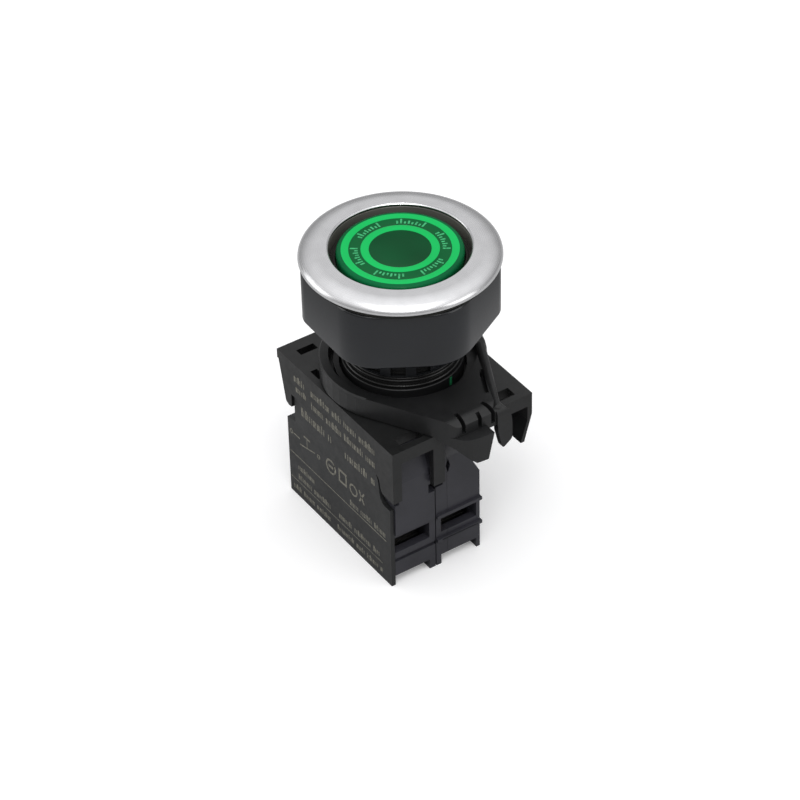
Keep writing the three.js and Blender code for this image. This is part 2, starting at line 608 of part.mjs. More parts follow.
function contactHousing() {
  const front = CONTACT_Y - BLOCK_HALF_Y + 0.9;
  const back = CONTACT_Y + BLOCK_HALF_Y;
  const shell = drawnAlongY(blockOutline(BLOCK_HALF_X, -34.5), front, back);
  const guide = outline([14.8, -29.9], [15.9, -29.9], [PANEL_X, -35], [PANEL_X, -40], [14.8, -40]);
  const flat = box(16.5, PANEL_X, front, back - 0.25, WIRE_TOP_Z + 0.8, -36);
  const panel = join(drawnAlongY(guide, -13.1, -6.6), flat);
  const stemSlot = box(-PUSH_LEG_HALF.x - 0.8, PUSH_LEG_HALF.x + 0.8, -PUSH_LEG_Y - PUSH_LEG_HALF.y - CLEARANCE,
    -PUSH_LEG_Y + PUSH_LEG_HALF.y + CLEARANCE, BLOCK_TOP_Z - BLOCK_WALL - EPS, BLOCK_TOP_Z + EPS);
  const legPocket = box(15.6, PANEL_X + EPS, front - EPS, -13.15, -39.6, BLOCK_TOP_Z);
  const pryHole = box(15.6, PANEL_X + EPS, -6.7, back + EPS, -40.1, -38.0);
  const pillSlot = box(16.6, PANEL_X + EPS, -12.9, -12.5, -37.1, -35.5);
  return cut(join(shell, panel), blockCavity(front - EPS, back - BLOCK_WALL),
    ...blockOpenings(front - EPS, back - 1.3, back + EPS), ...screwHoles(CONTACT_Y), stemSlot, legPocket,
    pryHole, pillSlot);
}

// The label side of the contact block. Its top corners are cut round the base plate's legs.
function contactCover() {
  const shape = new THREE.Shape();
  shape.moveTo(-BLOCK_HALF_X, BLOCK_BOTTOM_Z);
  shape.lineTo(BLOCK_HALF_X, BLOCK_BOTTOM_Z);
  shape.lineTo(BLOCK_HALF_X, -40.5);
  shape.lineTo(15.6, -40.5);
  shape.bezierCurveTo(14.3, -40.4, 14.0, -39.6, 13.8, -38.4);
  shape.bezierCurveTo(13.5, -36.4, 13.6, PLATE_SKIRT_Z - 0.4, 11.8, PLATE_SKIRT_Z - CLEARANCE);
  shape.lineTo(BLOCK_NECK_X, PLATE_SKIRT_Z - CLEARANCE);
  shape.lineTo(BLOCK_NECK_X, BLOCK_SHOULDER_Z + 0.4);
  shape.lineTo(-BLOCK_HALF_X, BLOCK_SHOULDER_Z);
  const y = CONTACT_Y - BLOCK_HALF_Y;
  return drawnAlongY(shape, y, y + 0.85);
}

// A small prying notch beside the seam between the lamp block's two shells.
function seamNotch() {
  const y = -2.1;
  const z = -36.0;
  const diamond = outline([y - 0.48, z], [y, z + 1.7], [y + 0.48, z], [y, z - 1.7]);
  return drawnAlongX(diamond, 14.6, BLOCK_HALF_X + 1);
}

// Two ribs across the face of the lamp block, over the wire entry and under it.
function sillBeads(y0, y1) {
  return [-46.9, -52.6].map((z) => box(BLOCK_HALF_X - 0.8, BLOCK_HALF_X + 0.55, y0, y1, z - 0.4, z + 0.3));
}

function lampHousing() {
  const front = LAMP_SEAM_Y;
  const back = LAMP_Y + BLOCK_HALF_Y;
  const shell = drawnAlongY(blockOutline(BLOCK_HALF_X, -34), front, back);
  const beads = sillBeads(front, back + 0.2);
  const bevel = outline([3.5, -37.8], [back, -40.5], [back + 1, -40.5], [back + 1, -27], [3.5, -27]);
  const chamfer = drawnAlongX(bevel, -20, 20);
  const turret = rod(3.6, 0, LAMP_Y, BLOCK_TOP_Z - BLOCK_WALL - EPS, BLOCK_TOP_Z + 2.4, 32);
  const turretBore = rod(2.95, 0, LAMP_Y, BLOCK_TOP_Z - 4, BLOCK_TOP_Z + 3, 32);
  const rim = box(BLOCK_NECK_X + BLOCK_WALL, 14.1, back - 2.6, back - 1.1, -44.6, BLOCK_TOP_Z - BLOCK_WALL);
  const cavity = cut(blockCavity(front - EPS, back - BLOCK_WALL), rim);
  const flat = cut(turret, box(-5, 5, front - 3, front, -40, -20));
  const hollow = cut(join(shell, ...beads), cavity, chamfer, ...blockOpenings(front - EPS, back - 0.8));
  return cut(join(hollow, flat), turretBore, seamNotch(), ...screwHoles(LAMP_Y));
}

function lampCover() {
  const front = LAMP_Y - BLOCK_HALF_Y;
  const back = LAMP_SEAM_Y - 0.05;
  const outer = drawnAlongY(blockOutline(BLOCK_HALF_X, -34), front, back);
  const shell = join(outer, ...sillBeads(front, back));
  const hollow = blockCavity(front + BLOCK_WALL, back + EPS);
  const turretRoom = rod(3.9, 0, LAMP_Y, BLOCK_TOP_Z - 2, BLOCK_TOP_Z + EPS, 32);
  const groove = box(15.2, 18, front - EPS, front + 1.6, -39.9, -37.6);
  return cut(shell, hollow, turretRoom, groove, seamNotch(), ...blockOpenings(front + 1.1, back + EPS),
    ...screwHoles(LAMP_Y));
}

// ---------------------------------------------------------------- contact mechanism
const BRIDGE_Z = -36.8;           // underside of the moving bridge at rest
const BRIDGE_THICKNESS = 0.7;
const PAD_HEIGHT = 0.5;
const PAD_X = 4.6;
const PAD_RADIUS = 1.1;
const STRIP_X = 8.0;              // the upright part of every terminal strip

function contactPlunger() {
  const y = -PUSH_LEG_Y;
  const half = PUSH_LEG_HALF;
  const stem = box(-half.x, half.x, y - half.y, y + half.y, -31.5, PUSH_LEG_TIP_Z - 0.15);
  const carriage = box(-2.4, 2.4, CONTACT_Y - 2.6, y + half.y, -38.6, -31);
  const window = box(-3, 3, CONTACT_Y - 1.9, CONTACT_Y + 1.9, BRIDGE_Z - 0.1, -32.4);
  return cut(join(stem, carriage), window);
}

function contactBridge() {
  const bar = box(-6, 6, CONTACT_Y - 1.6, CONTACT_Y + 1.6, BRIDGE_Z, BRIDGE_Z + BRIDGE_THICKNESS);
  const pads = [-1, 1].map((end) => (
    rod(PAD_RADIUS, end * PAD_X, CONTACT_Y, BRIDGE_Z - PAD_HEIGHT, BRIDGE_Z + 0.1)));
  return join(bar, ...pads);
}

function contactSpring() {
  return coil(0, CONTACT_Y, 1.2, 0.2, BRIDGE_Z + BRIDGE_THICKNESS + 0.3, -32.7, 4);
}

function plungerSpring() {
  return coil(0, CONTACT_Y, 1.9, 0.25, -44.2, -38.95, 4);
}

// A strip from the terminal up to the fixed contact under the bridge. end is +1 or -1.
function fixedContact(end) {
  const plateZ = WIRE_TOP_Z + 0.3;
  const strip = 0.9;
  const upper = BRIDGE_Z - PAD_HEIGHT - TRAVEL - CLEARANCE - PAD_HEIGHT;
  const profile = outline(
    [3.4, upper], [STRIP_X + strip, upper], [STRIP_X + strip, plateZ + strip], [14.6, plateZ + strip],
    [14.6, plateZ], [STRIP_X, plateZ], [STRIP_X, upper - strip], [3.4, upper - strip],
  );
  const bent = drawnAlongY(profile, CONTACT_Y - 2.6, CONTACT_Y + 2.6);
  const pad = rod(PAD_RADIUS, PAD_X, CONTACT_Y, upper - 0.1, upper + PAD_HEIGHT);
  const threadHole = rod(SCREW_SHANK_RADIUS + 0.15, SCREW_X, CONTACT_Y, plateZ - EPS, plateZ + strip + EPS);
  const strap = cut(join(bent, pad), threadHole);
  return end > 0 ? strap : strap.mirror([1, 0, 0]);
}

// ---------------------------------------------------------------- terminals
const CLAMP_Z = -52.4;            // underside of an open clamp

function terminalClamp(end, y) {
  const x = end * SCREW_X;
  const half = 3.0;
  const thickness = 1.0;
  const saddle = box(x - half, x + half, y - half, y + half, CLAMP_Z, CLAMP_Z + thickness);
  return cut(saddle, rod(SCREW_SHANK_RADIUS + 0.15, x, y, CLAMP_Z - EPS, CLAMP_Z + thickness + EPS));
}

function terminalScrew(end, y) {
  const x = end * SCREW_X;
  const headTop = CLAMP_Z - 0.1;
  const headBottom = headTop - 1.9;
  const head = rod(SCREW_HEAD_RADIUS, x, y, headBottom, headTop, 24);
  const shank = rod(SCREW_SHANK_RADIUS, x, y, headTop - EPS, -46.6);
  const slot = 0.4;
  const recess = [box(x - 1.9, x + 1.9, y - slot, y + slot, headBottom - EPS, headBottom + 1),
    box(x - slot, x + slot, y - 1.9, y + 1.9, headBottom - EPS, headBottom + 1)];
  return cut(join(head, shank), ...recess);
}

// ---------------------------------------------------------------- lamp
function circuitBoard() {
  return box(-7.6, 7.6, LAMP_Y - 0.5, LAMP_Y + 0.5, -43.5, -33.2);
}

function lampBody() {
  const foot = rod(2.3, 0, LAMP_Y, -33, -31.6, 24);
  const base = -31.7;
  const dome = arcPoints([0, -25.6], [1.9, 1.9], 0, 90, 5);
  const bulb = turned([[0, base], [1.9, base], ...dome], 24);
  return join(foot, bulb);
}

function resistor() {
  const body = new THREE.CapsuleGeometry(0.8, 4.2, 4, 14).rotateZ(Math.PI / 2);
  return solid(body.translate(-4.5, LAMP_Y - 1.5, -38.5));
}

function rectifier() {
  return box(2.2, 6.4, LAMP_Y - 2.0, LAMP_Y - 0.6, -40.4, -36.6);
}

function lampTerminal(end) {
  const plateZ = WIRE_TOP_Z + 0.3;
  const strip = 0.9;
  const profile = outline(
    [STRIP_X, plateZ], [14.6, plateZ], [14.6, plateZ + strip],
    [STRIP_X + strip, plateZ + strip], [STRIP_X + strip, -36.5], [STRIP_X, -36.5],
  );
  const bent = drawnAlongY(profile, LAMP_Y - 2.1, LAMP_Y + 2.1);
  const threadHole = rod(SCREW_SHANK_RADIUS + 0.15, SCREW_X, LAMP_Y, plateZ - EPS, plateZ + strip + EPS);
  const strap = cut(bent, threadHole);
  return end > 0 ? strap : strap.mirror([1, 0, 0]);
}

// ---------------------------------------------------------------- assembly
place('bezel_ring', bezelRing(), SATIN_METAL);
place('wiper_seal', wiperSeal(), BLACK_RUBBER);
place('panel_gasket', panelGasket(), BLACK_RUBBER);
place('head_bushing', headBushing(), GLOSS_BLACK);
place('skirt_sleeve', skirtSleeve(), GLOSS_BLACK);
place('window_band', windowBand(), NUT_GREY);
place('bayonet_spigot', bayonetSpigot(), GLOSS_BLACK);
place('index_mark', indexMark(), GREEN_PAINT);
place('clamp_nut', clampNut(), NUT_GREY);
place('button_lens', buttonLens(), GREEN_LENS);
place('legend_disc', legendDisc(), WHITE_PLASTIC);
place('lens_holder', lensHolder(), WHITE_PLASTIC);
place('return_spring', returnSpring(), STEEL);
place('base_plate', basePlate(), BLACK_PLASTIC);
place('lock_ring', lockRing(), BLACK_PLASTIC);
place('contact_housing', contactHousing(), BLACK_PLASTIC);
place('contact_cover', contactCover(), BLACK_PLASTIC);
place('contact_plunger', contactPlunger(), WHITE_PLASTIC);
place('contact_bridge', contactBridge(), BRASS);
place('contact_spring', contactSpring(), STEEL);
place('plunger_spring', plungerSpring(), STEEL);
place('lamp_housing', lampHousing(), BLACK_PLASTIC);
place('lamp_cover', lampCover(), BLACK_PLASTIC);
place('circuit_board', circuitBoard(), BOARD_GREEN);
place('led_lamp', lampBody(), LAMP_CLEAR);
place('resistor', resistor(), RESISTOR_BEIGE);
place('rectifier', rectifier(), GLOSS_BLACK);
for (const [end, side] of [[1, 'front'], [-1, 'rear']]) {
  place(`fixed_contact_${side}`, fixedContact(end), BRASS);
  place(`lamp_terminal_${side}`, lampTerminal(end), BRASS);
  for (const [block, y] of [['contact', CONTACT_Y], ['lamp', LAMP_Y]]) {
    place(`${block}_clamp_${side}`, terminalClamp(end, y), STEEL);
    place(`${block}_screw_${side}`, terminalScrew(end, y), STEEL);
  }
}

export default button;
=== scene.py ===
"""Illuminated industrial push button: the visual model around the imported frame.

Lengths in this file are millimetres in the object's own frame: the origin on the button's axis in
the panel plane, +Z towards the operator, +X along the blocks, -Y towards the labelled cover.
Angles are degrees.
"""
import math
import bmesh
import bpy
from mathutils import Matrix, Vector


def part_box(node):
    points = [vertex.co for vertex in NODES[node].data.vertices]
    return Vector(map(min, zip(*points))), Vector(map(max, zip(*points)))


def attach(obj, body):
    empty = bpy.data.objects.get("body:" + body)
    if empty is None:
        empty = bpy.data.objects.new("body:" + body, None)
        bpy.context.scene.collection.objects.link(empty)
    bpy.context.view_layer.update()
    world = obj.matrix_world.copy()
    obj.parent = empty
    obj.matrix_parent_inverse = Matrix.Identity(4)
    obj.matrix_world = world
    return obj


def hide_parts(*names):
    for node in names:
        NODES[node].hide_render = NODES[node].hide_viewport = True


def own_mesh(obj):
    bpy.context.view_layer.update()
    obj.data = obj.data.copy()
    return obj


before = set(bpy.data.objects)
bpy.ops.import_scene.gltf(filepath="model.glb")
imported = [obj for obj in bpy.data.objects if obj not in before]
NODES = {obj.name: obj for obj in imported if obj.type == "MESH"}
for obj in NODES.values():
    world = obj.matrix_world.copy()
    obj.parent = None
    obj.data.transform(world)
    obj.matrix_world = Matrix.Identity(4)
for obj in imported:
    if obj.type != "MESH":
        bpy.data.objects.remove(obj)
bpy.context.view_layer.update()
MM = 0.001


def corners(node):
    """A CAD node's lowest and highest corners in millimetres."""
    low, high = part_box(node)
    return [c / MM for c in low], [c / MM for c in high]


# ---------------------------------------------------------------- driving dimensions
BEZEL_HIGH = corners("bezel_ring")[1]
BEZEL_RADIUS = BEZEL_HIGH[0]
BEZEL_FACE = BEZEL_HIGH[2]
FLAT_RADIUS = 14.9
OPENING_RADIUS = 12.85
COLLAR_RADIUS = 13.3
COLLAR_TOP = corners("head_bushing")[1][2]
THREAD_RADIUS = corners("head_bushing")[1][0]
THREAD_PITCH = 1.5
THREAD_DEPTH = 0.45
BORE_RADIUS = 11.8
BARREL_BOTTOM = corners("head_bushing")[0][2]
SLEEVE_HIGH = corners("skirt_sleeve")[1]
SLEEVE_BOTTOM = corners("skirt_sleeve")[0][2]
BAND_LOW, BAND_HIGH = corners("window_band")
BAND_BORE = 9.85
NUT_LOW, NUT_HIGH = corners("clamp_nut")
NUT_BOTTOM = NUT_LOW[2]
NUT_TOP = NUT_HIGH[2]
NUT_FLATS = 32.2
NUT_CORNER = 8.5
NUT_GRIP_CORNER = 4.4
NUT_TURN = -1.5
NUT_HOLE = THREAD_RADIUS + 0.3
LENS_RADIUS = corners("button_lens")[1][0]
LENS_FACE = corners("button_lens")[1][2]
LENS_BOTTOM = corners("button_lens")[0][2]
SKIRT_RADIUS = 10.4
SKIRT_BORE = 9.3
SKIRT_WINDOWS = 14
WINDOW_WIDTH = 2.7
WINDOW_BOTTOM, WINDOW_TOP = -19.2, -13.9
UPPER_BEAD, LOWER_BEAD = -20.1, -21.2
PUSH_LEG_REACH = 7.5
SPIGOT_RADIUS = 11.2
SPIGOT_BOTTOM = corners("bayonet_spigot")[0][2]
INDEX_PLACE = 16
INDEX_WIDTH = 0.6
BLOCK_BOTTOM = corners("contact_housing")[0][2]
COVER_FACE = corners("contact_cover")[0][1]
SKIRT_FACE = corners("base_plate")[0][1]
SCREW_PITCH = 0.6
FULL_ROUND = 192
FINE_ROUND = 256


# ---------------------------------------------------------------- camera, floor and light
CAMERA_HEADING = 56.637
CAMERA_HEIGHT = 38.925
CAMERA_ROLL = 1.442
CAMERA_PLACE = (376.51, -248.76, 331.49)
CAMERA_LENS = 141.75


def make_camera():
    """A long lens that looks down on the lever's corner, rolled a little."""
    heading, height, roll = (math.radians(a) for a in (CAMERA_HEADING, CAMERA_HEIGHT, CAMERA_ROLL))
    front = Vector((math.sin(heading), -math.cos(heading), 0))
    back = front * math.cos(height) + Vector((0, 0, math.sin(height)))
    level = Vector((math.cos(heading), math.sin(heading), 0))
    up = back.cross(level)
    right = math.cos(roll) * level - math.sin(roll) * up
    up = math.sin(roll) * level + math.cos(roll) * up
    data = bpy.data.cameras.new("camera")
    data.lens = CAMERA_LENS
    data.sensor_width = 36
    data.clip_start = 0.01
    data.clip_end = 50
    camera = bpy.data.objects.new("camera", data)
    bpy.context.collection.objects.link(camera)
    turn = Matrix((right, up, back)).transposed().to_4x4()
    camera.matrix_world = Matrix.Translation(Vector(CAMERA_PLACE) * MM) @ turn
    bpy.context.scene.camera = camera


def area_light(name, place, aim, size, radiance):
    """A square soft box that faces aim. A radiance of 1 is a white sheet in the picture."""
    data = bpy.data.lights.new(name, "AREA")
    data.shape = "SQUARE"
    data.size = size
    data.energy = radiance * math.pi * size * size
    light = bpy.data.objects.new(name, data)
    bpy.context.collection.objects.link(light)
    light.location = place
    light.rotation_euler = (Vector(place) - Vector(aim)).to_track_quat("Z", "Y").to_euler()


def make_light():
    """A sheet overhead, one at each side, a key lamp, and a room that is darker near its horizon."""
    heading = math.radians(CAMERA_HEADING)
    front = Vector((math.sin(heading), -math.cos(heading), 0))
    side = Vector((math.cos(heading), math.sin(heading), 0))
    middle = (0, 0, -0.02)
    area_light("overhead_sheet", front * 0.42 + Vector((0, 0, 0.78)), middle, 0.75, 1.5)
    area_light("left_sheet", -side * 0.85 - front * 0.15 + Vector((0, 0, 0.2)), middle, 0.6, 1.1)
    area_light("right_sheet", side * 0.75 + front * 0.35 + Vector((0, 0, 0.28)), middle, 0.5, 1.2)
    area_light("key_lamp", front * 0.5 + Vector((0, 0, 0.75)), middle, 0.2, 6.0)

    world = bpy.data.worlds.new("studio")
    bpy.context.scene.world = world
    world.use_nodes = True
    tree = world.node_tree
    tree.nodes.clear()
    output = tree.nodes.new("ShaderNodeOutputWorld")
    room = tree.nodes.new("ShaderNodeBackground")
    seen = tree.nodes.new("ShaderNodeBackground")
    seen.inputs["Color"].default_value = (1, 1, 1, 1)
    mix = tree.nodes.new("ShaderNodeMixShader")
    path = tree.nodes.new("ShaderNodeLightPath")
    where = tree.nodes.new("ShaderNodeTexCoord")
    split = tree.nodes.new("ShaderNodeSeparateXYZ")
    ramp = tree.nodes.new("ShaderNodeValToRGB")
    levels = [(0.0, 0.30), (0.3, 0.36), (0.6, 0.66), (0.85, 0.95), (1.0, 1.05)]
    while len(ramp.color_ramp.elements) < len(levels):
        ramp.color_ramp.elements.new(0.5)
    for element, (height, level) in zip(ramp.color_ramp.elements, levels):
        element.position = height
        element.color = (level, level, level * 1.01, 1)
    tree.links.new(where.outputs["Generated"], split.inputs[0])
    tree.links.new(split.outputs["Z"], ramp.inputs[0])
    tree.links.new(ramp.outputs["Color"], room.inputs["Color"])
    tree.links.new(path.outputs["Is Camera Ray"], mix.inputs[0])
    tree.links.new(room.outputs[0], mix.inputs[1])
    tree.links.new(seen.outputs[0], mix.inputs[2])
    tree.links.new(mix.outputs[0], output.inputs[0])
    bpy.context.scene.view_settings.view_transform = "Standard"
    bpy.context.scene.view_settings.look = "None"


def make_floor(finish):
    """A wide floor at the height of the blocks' lowest edge."""
    reach = 6.0
    height = BLOCK_BOTTOM * MM
    mesh = bpy.data.meshes.new("floor")
    square = ((-reach, -reach), (reach, -reach), (reach, reach), (-reach, reach))
    mesh.from_pydata([(x, y, height) for x, y in square], [], [(0, 1, 2, 3)])
    floor = bpy.data.objects.new("floor", mesh)
    bpy.context.collection.objects.link(floor)
    mesh.materials.append(finish)


# ---------------------------------------------------------------- materials
class Finish:
    """A node material with a Principled shader and its own coordinates in millimetres."""

    def __init__(self, name, **sockets):
        self.material = bpy.data.materials.new(name)
        self.material.use_nodes = True
        self.tree = self.material.node_tree
        self.shader = self.tree.nodes["Principled BSDF"]
        for key, value in sockets.items():
            self.shader.inputs[key.replace("_", " ")].default_value = value
        where = self.node("ShaderNodeTexCoord")
        scale = self.node("ShaderNodeVectorMath", operation="SCALE")
        scale.inputs["Scale"].default_value = 1 / MM
        self.link(where.outputs["Object"], scale.inputs[0])
        self.place = scale.outputs[0]

    def node(self, kind, **settings):
        made = self.tree.nodes.new(kind)
        for key, value in settings.items():
            setattr(made, key, value)
        return made

    def link(self, source, target):
        self.tree.links.new(source, target)

    def noise(self, scale, detail, rough=0.5, place=None):
        made = self.node("ShaderNodeTexNoise")
        made.inputs["Scale"].default_value = scale
        made.inputs["Detail"].default_value = detail
        made.inputs["Roughness"].default_value = rough
        self.link(place or self.place, made.inputs["Vector"])
        return made.outputs["Fac"]

    def spread(self, factor, low, high, start=0.3, end=0.7):
        made = self.node("ShaderNodeMapRange")
        for key, value in (("From Min", start), ("From Max", end), ("To Min", low), ("To Max", high)):
            made.inputs[key].default_value = value
        self.link(factor, made.inputs["Value"])
        return made.outputs[0]

    def blend(self, factor, first, second):
        made = self.node("ShaderNodeMix", data_type="RGBA")
        self.link(factor, made.inputs[0])
        for socket, value in ((made.inputs[6], first), (made.inputs[7], second)):
            if isinstance(value, tuple):
                socket.default_value = (*value, 1)
            else:
                self.link(value, socket)
        return made.outputs[2]

    def colour(self, source):
        self.link(source, self.shader.inputs["Base Color"])

    def roughness(self, source):
        self.link(source, self.shader.inputs["Roughness"])

    def bump(self, height, depth):
        """height is a 0 to 1 pattern, depth its size in millimetres."""
        made = self.node("ShaderNodeBump")
        made.inputs["Distance"].default_value = depth * MM
        self.link(height, made.inputs["Height"])
        self.link(made.outputs[0], self.shader.inputs["Normal"])

    def squeezed(self, x, y, z):
        made = self.node("ShaderNodeVectorMath", operation="MULTIPLY")
        made.inputs[1].default_value = (x, y, z)
        self.link(self.place, made.inputs[0])
        return made.outputs[0]

    def radius(self):
        made = self.node("ShaderNodeVectorMath", operation="LENGTH")
        self.link(self.squeezed(1, 1, 0), made.inputs[0])
        return made.outputs["Value"]


def moulded(name, tint, rough, grain=0.004, grain_scale=5.0, specular=0.45):
    """Moulded plastic: a fine spark-eroded grain, slight colour drift and uneven gloss."""
    finish = Finish(name, Specular_IOR_Level=specular)
    drift = finish.noise(0.12, 3)
    light = tuple(c * 1.22 for c in tint)
    dark = tuple(c * 0.86 for c in tint)
    finish.colour(finish.blend(finish.spread(drift, 0, 1), dark, light))
    finish.roughness(finish.spread(finish.noise(0.5, 4, 0.6), rough - 0.05, rough + 0.07))
    finish.bump(finish.noise(grain_scale, 3, 0.6), grain)
    return finish.material


def turned_metal(name, tint, rough):
    """Satin metal with fine circular marks from turning."""
    finish = Finish(name, Metallic=1.0)
    radius = finish.radius()
    rings = finish.node("ShaderNodeTexNoise", noise_dimensions="1D")
    rings.inputs["Scale"].default_value = 9.0
    rings.inputs["Detail"].default_value = 4.0
    finish.link(radius, rings.inputs["W"])
    cloud = finish.noise(0.35, 3)
    light = tuple(min(1, c * 1.04) for c in tint)
    dark = tuple(c * 0.95 for c in tint)
    finish.colour(finish.blend(finish.spread(cloud, 0, 1), dark, light))
    finish.roughness(finish.spread(rings.outputs["Fac"], rough - 0.03, rough + 0.05))
    finish.bump(rings.outputs["Fac"], 0.0005)
    return finish.material


def plated(name, tint, rough, scratch=0.0015):
    """Plated or drawn metal with short fine scratches."""
    finish = Finish(name, Metallic=1.0)
    marks = finish.noise(2.2, 5, 0.65, finish.squeezed(1, 1, 7))
    light = tuple(min(1, c * 1.08) for c in tint)
    dark = tuple(c * 0.88 for c in tint)
    finish.colour(finish.blend(finish.spread(finish.noise(0.5, 3), 0, 1), dark, light))
    finish.roughness(finish.spread(marks, rough - 0.06, rough + 0.08))
    finish.bump(marks, scratch)
    return finish.material


def polished(name, tint, rough, deep=None):
    """Tinted polished plastic, whose colour drifts slowly from deep to tint across the face."""
    finish = Finish(name, Specular_IOR_Level=0.06)
    slow = finish.noise(0.07, 2)
    deep = deep or tuple(c * 0.8 for c in tint)
    finish.colour(finish.blend(finish.spread(slow, 0, 1), deep, tint))
    finish.roughness(finish.spread(finish.noise(1.2, 3), rough - 0.02, rough + 0.05))
    finish.bump(finish.noise(0.9, 2), 0.001)
    return finish.material


def printed_ink(name, tint):
    """Pad-printed ink, a little thin and uneven."""
    finish = Finish(name, Specular_IOR_Level=0.3)
    wear = finish.noise(2.6, 4, 0.7)
    thin = tuple(c * 0.45 for c in tint)
    finish.colour(finish.blend(finish.spread(wear, 0, 1, 0.36, 0.58), thin, tint))
    finish.roughness(finish.spread(wear, 0.5, 0.65))
    finish.bump(wear, 0.002)
    return finish.material


def board_finish():
    """Solder resist over copper tracks."""
    finish = Finish("board_green", Specular_IOR_Level=0.5)
    tracks = finish.node("ShaderNodeTexBrick")
    tracks.inputs["Scale"].default_value = 0.6
    tracks.inputs["Mortar Size"].default_value = 0.04
    finish.link(finish.squeezed(1, 0, 1), tracks.inputs["Vector"])
    finish.colour(finish.blend(tracks.outputs["Fac"], (0.02, 0.14, 0.05), (0.05, 0.22, 0.08)))
    finish.roughness(finish.spread(finish.noise(1.0, 3), 0.3, 0.42))
    finish.bump(tracks.outputs["Fac"], 0.03)
    return finish.material


def resistor_finish():
    """Beige lacquer with coloured bands along the body."""
    finish = Finish("resistor_bands", Specular_IOR_Level=0.5)
    split = finish.node("ShaderNodeSeparateXYZ")
    finish.link(finish.place, split.inputs[0])
    ramp = finish.node("ShaderNodeValToRGB")
    ramp.color_ramp.interpolation = "CONSTANT"
    beige = (0.52, 0.36, 0.2)
    red, blue, orange, gold = (0.35, 0.02, 0.01), (0.03, 0.03, 0.25), (0.5, 0.2, 0.01), (0.5, 0.35, 0.1)
    bands = [(0.22, red), (0.38, blue), (0.54, orange), (0.76, gold)]
    stops = [(0.0, beige)]
    for start, tint in bands:
        stops += [(start, tint), (start + 0.07, beige)]
    while len(ramp.color_ramp.elements) < len(stops):
        ramp.color_ramp.elements.new(0.5)
    for element, (start, tint) in zip(ramp.color_ramp.elements, stops):
        element.position = start
        element.color = (*tint, 1)
    low, high = corners("resistor")
    along = finish.node("ShaderNodeMapRange")
    along.inputs["From Min"].default_value = low[0]
    along.inputs["From Max"].default_value = high[0]
    finish.link(split.outputs["X"], along.inputs["Value"])
    finish.link(along.outputs[0], ramp.inputs[0])
    finish.colour(ramp.outputs["Color"])
    finish.roughness(finish.spread(finish.noise(1.5, 3), 0.25, 0.4))
    return finish.material


def floor_finish():
    """A white sweep, evenly lit, that bounces less light onto the object than bare white would."""
    finish = Finish("pale_floor", Specular_IOR_Level=0.0)
    drift = finish.noise(0.004, 2)
    finish.colour(finish.blend(finish.spread(drift, 0, 1), (0.9, 0.9, 0.9), (0.93, 0.93, 0.93)))
    finish.roughness(finish.spread(drift, 0.7, 0.75))
    finish.shader.inputs["Emission Color"].default_value = (1, 1, 1, 1)
    finish.shader.inputs["Emission Strength"].default_value = 0.16
    bounce = finish.node("ShaderNodeBsdfDiffuse")
    bounce.inputs["Color"].default_value = (0.48, 0.48, 0.48, 1)
    mix = finish.node("ShaderNodeMixShader")
    finish.link(finish.node("ShaderNodeLightPath").outputs["Is Camera Ray"], mix.inputs[0])
    finish.link(bounce.outputs[0], mix.inputs[1])
    finish.link(finish.shader.outputs[0], mix.inputs[2])
    finish.link(mix.outputs[0], finish.tree.nodes["Material Output"].inputs["Surface"])
    return finish.material


# ---------------------------------------------------------------- mesh making
# The faces of a box whose first four corners go round one end, and the next four round the other.
BOX_FACES = ((0, 1, 2, 3), (4, 5, 6, 7), (0, 1, 5, 4), (1, 2, 6, 5), (2, 3, 7, 6), (3, 0, 4, 7))


def mesh_object(name, points, faces, finishes, face_finish=None, sharp=32):
    """An object of these points, in millimetres, with its faces turned outwards.

    Edges over sharp degrees stay sharp, and the rest is smooth.
    """
    mesh = bpy.data.meshes.new(name)
    mesh.from_pydata([[c * MM for c in p] for p in points], [], faces)
    for finish in finishes:
        mesh.materials.append(finish)
    if face_finish:
        mesh.polygons.foreach_set("material_index", face_finish)
    shape = bmesh.new()
    shape.from_mesh(mesh)
    bmesh.ops.remove_doubles(shape, verts=shape.verts, dist=1e-8)
    bmesh.ops.recalc_face_normals(shape, faces=shape.faces)
    shape.to_mesh(mesh)
    shape.free()
    smooth(mesh, sharp)
    made = bpy.data.objects.new(name, mesh)
    bpy.context.collection.objects.link(made)
    return made


def smooth(mesh, sharp):
    """Smooth shading, except at edges that turn by more than sharp degrees."""
    mesh.polygons.foreach_set("use_smooth", [True] * len(mesh.polygons))
    mesh.set_sharp_from_angle(angle=math.radians(sharp))
    mesh.update()


def rounded(profile, steps=5):
    """A closed outline of (u, v) or (u, v, radius) points, with a curve at each that has a radius."""
    out = []
    count = len(profile)
    for i, point in enumerate(profile):
        here = Vector(point[:2])
        radius = point[2] if len(point) > 2 else 0
        before = Vector(profile[i - 1][:2]) - here
        after = Vector(profile[(i + 1) % count][:2]) - here
        if not radius or before.length < 1e-9 or after.length < 1e-9:
            out.append(tuple(here))
            continue
        half = before.angle(after) / 2
        if half < 0.01:
            out.append(tuple(here))
            continue
        reach = min(radius / math.tan(half), before.length * 0.49, after.length * 0.49)
        start = here + before.normalized() * reach
        end = here + after.normalized() * reach
        for k in range(steps + 1):
            t = k / steps
            out.append(tuple((1 - t) ** 2 * start + 2 * t * (1 - t) * here + t ** 2 * end))
    return out


def arc(centre, radii, start, end, steps):
    """Points along an elliptical arc, from start to end degrees."""
    for k in range(steps + 1):
        angle = math.radians(start + (end - start) * k / steps)
        yield (centre[0] + radii[0] * math.cos(angle), centre[1] + radii[1] * math.sin(angle))


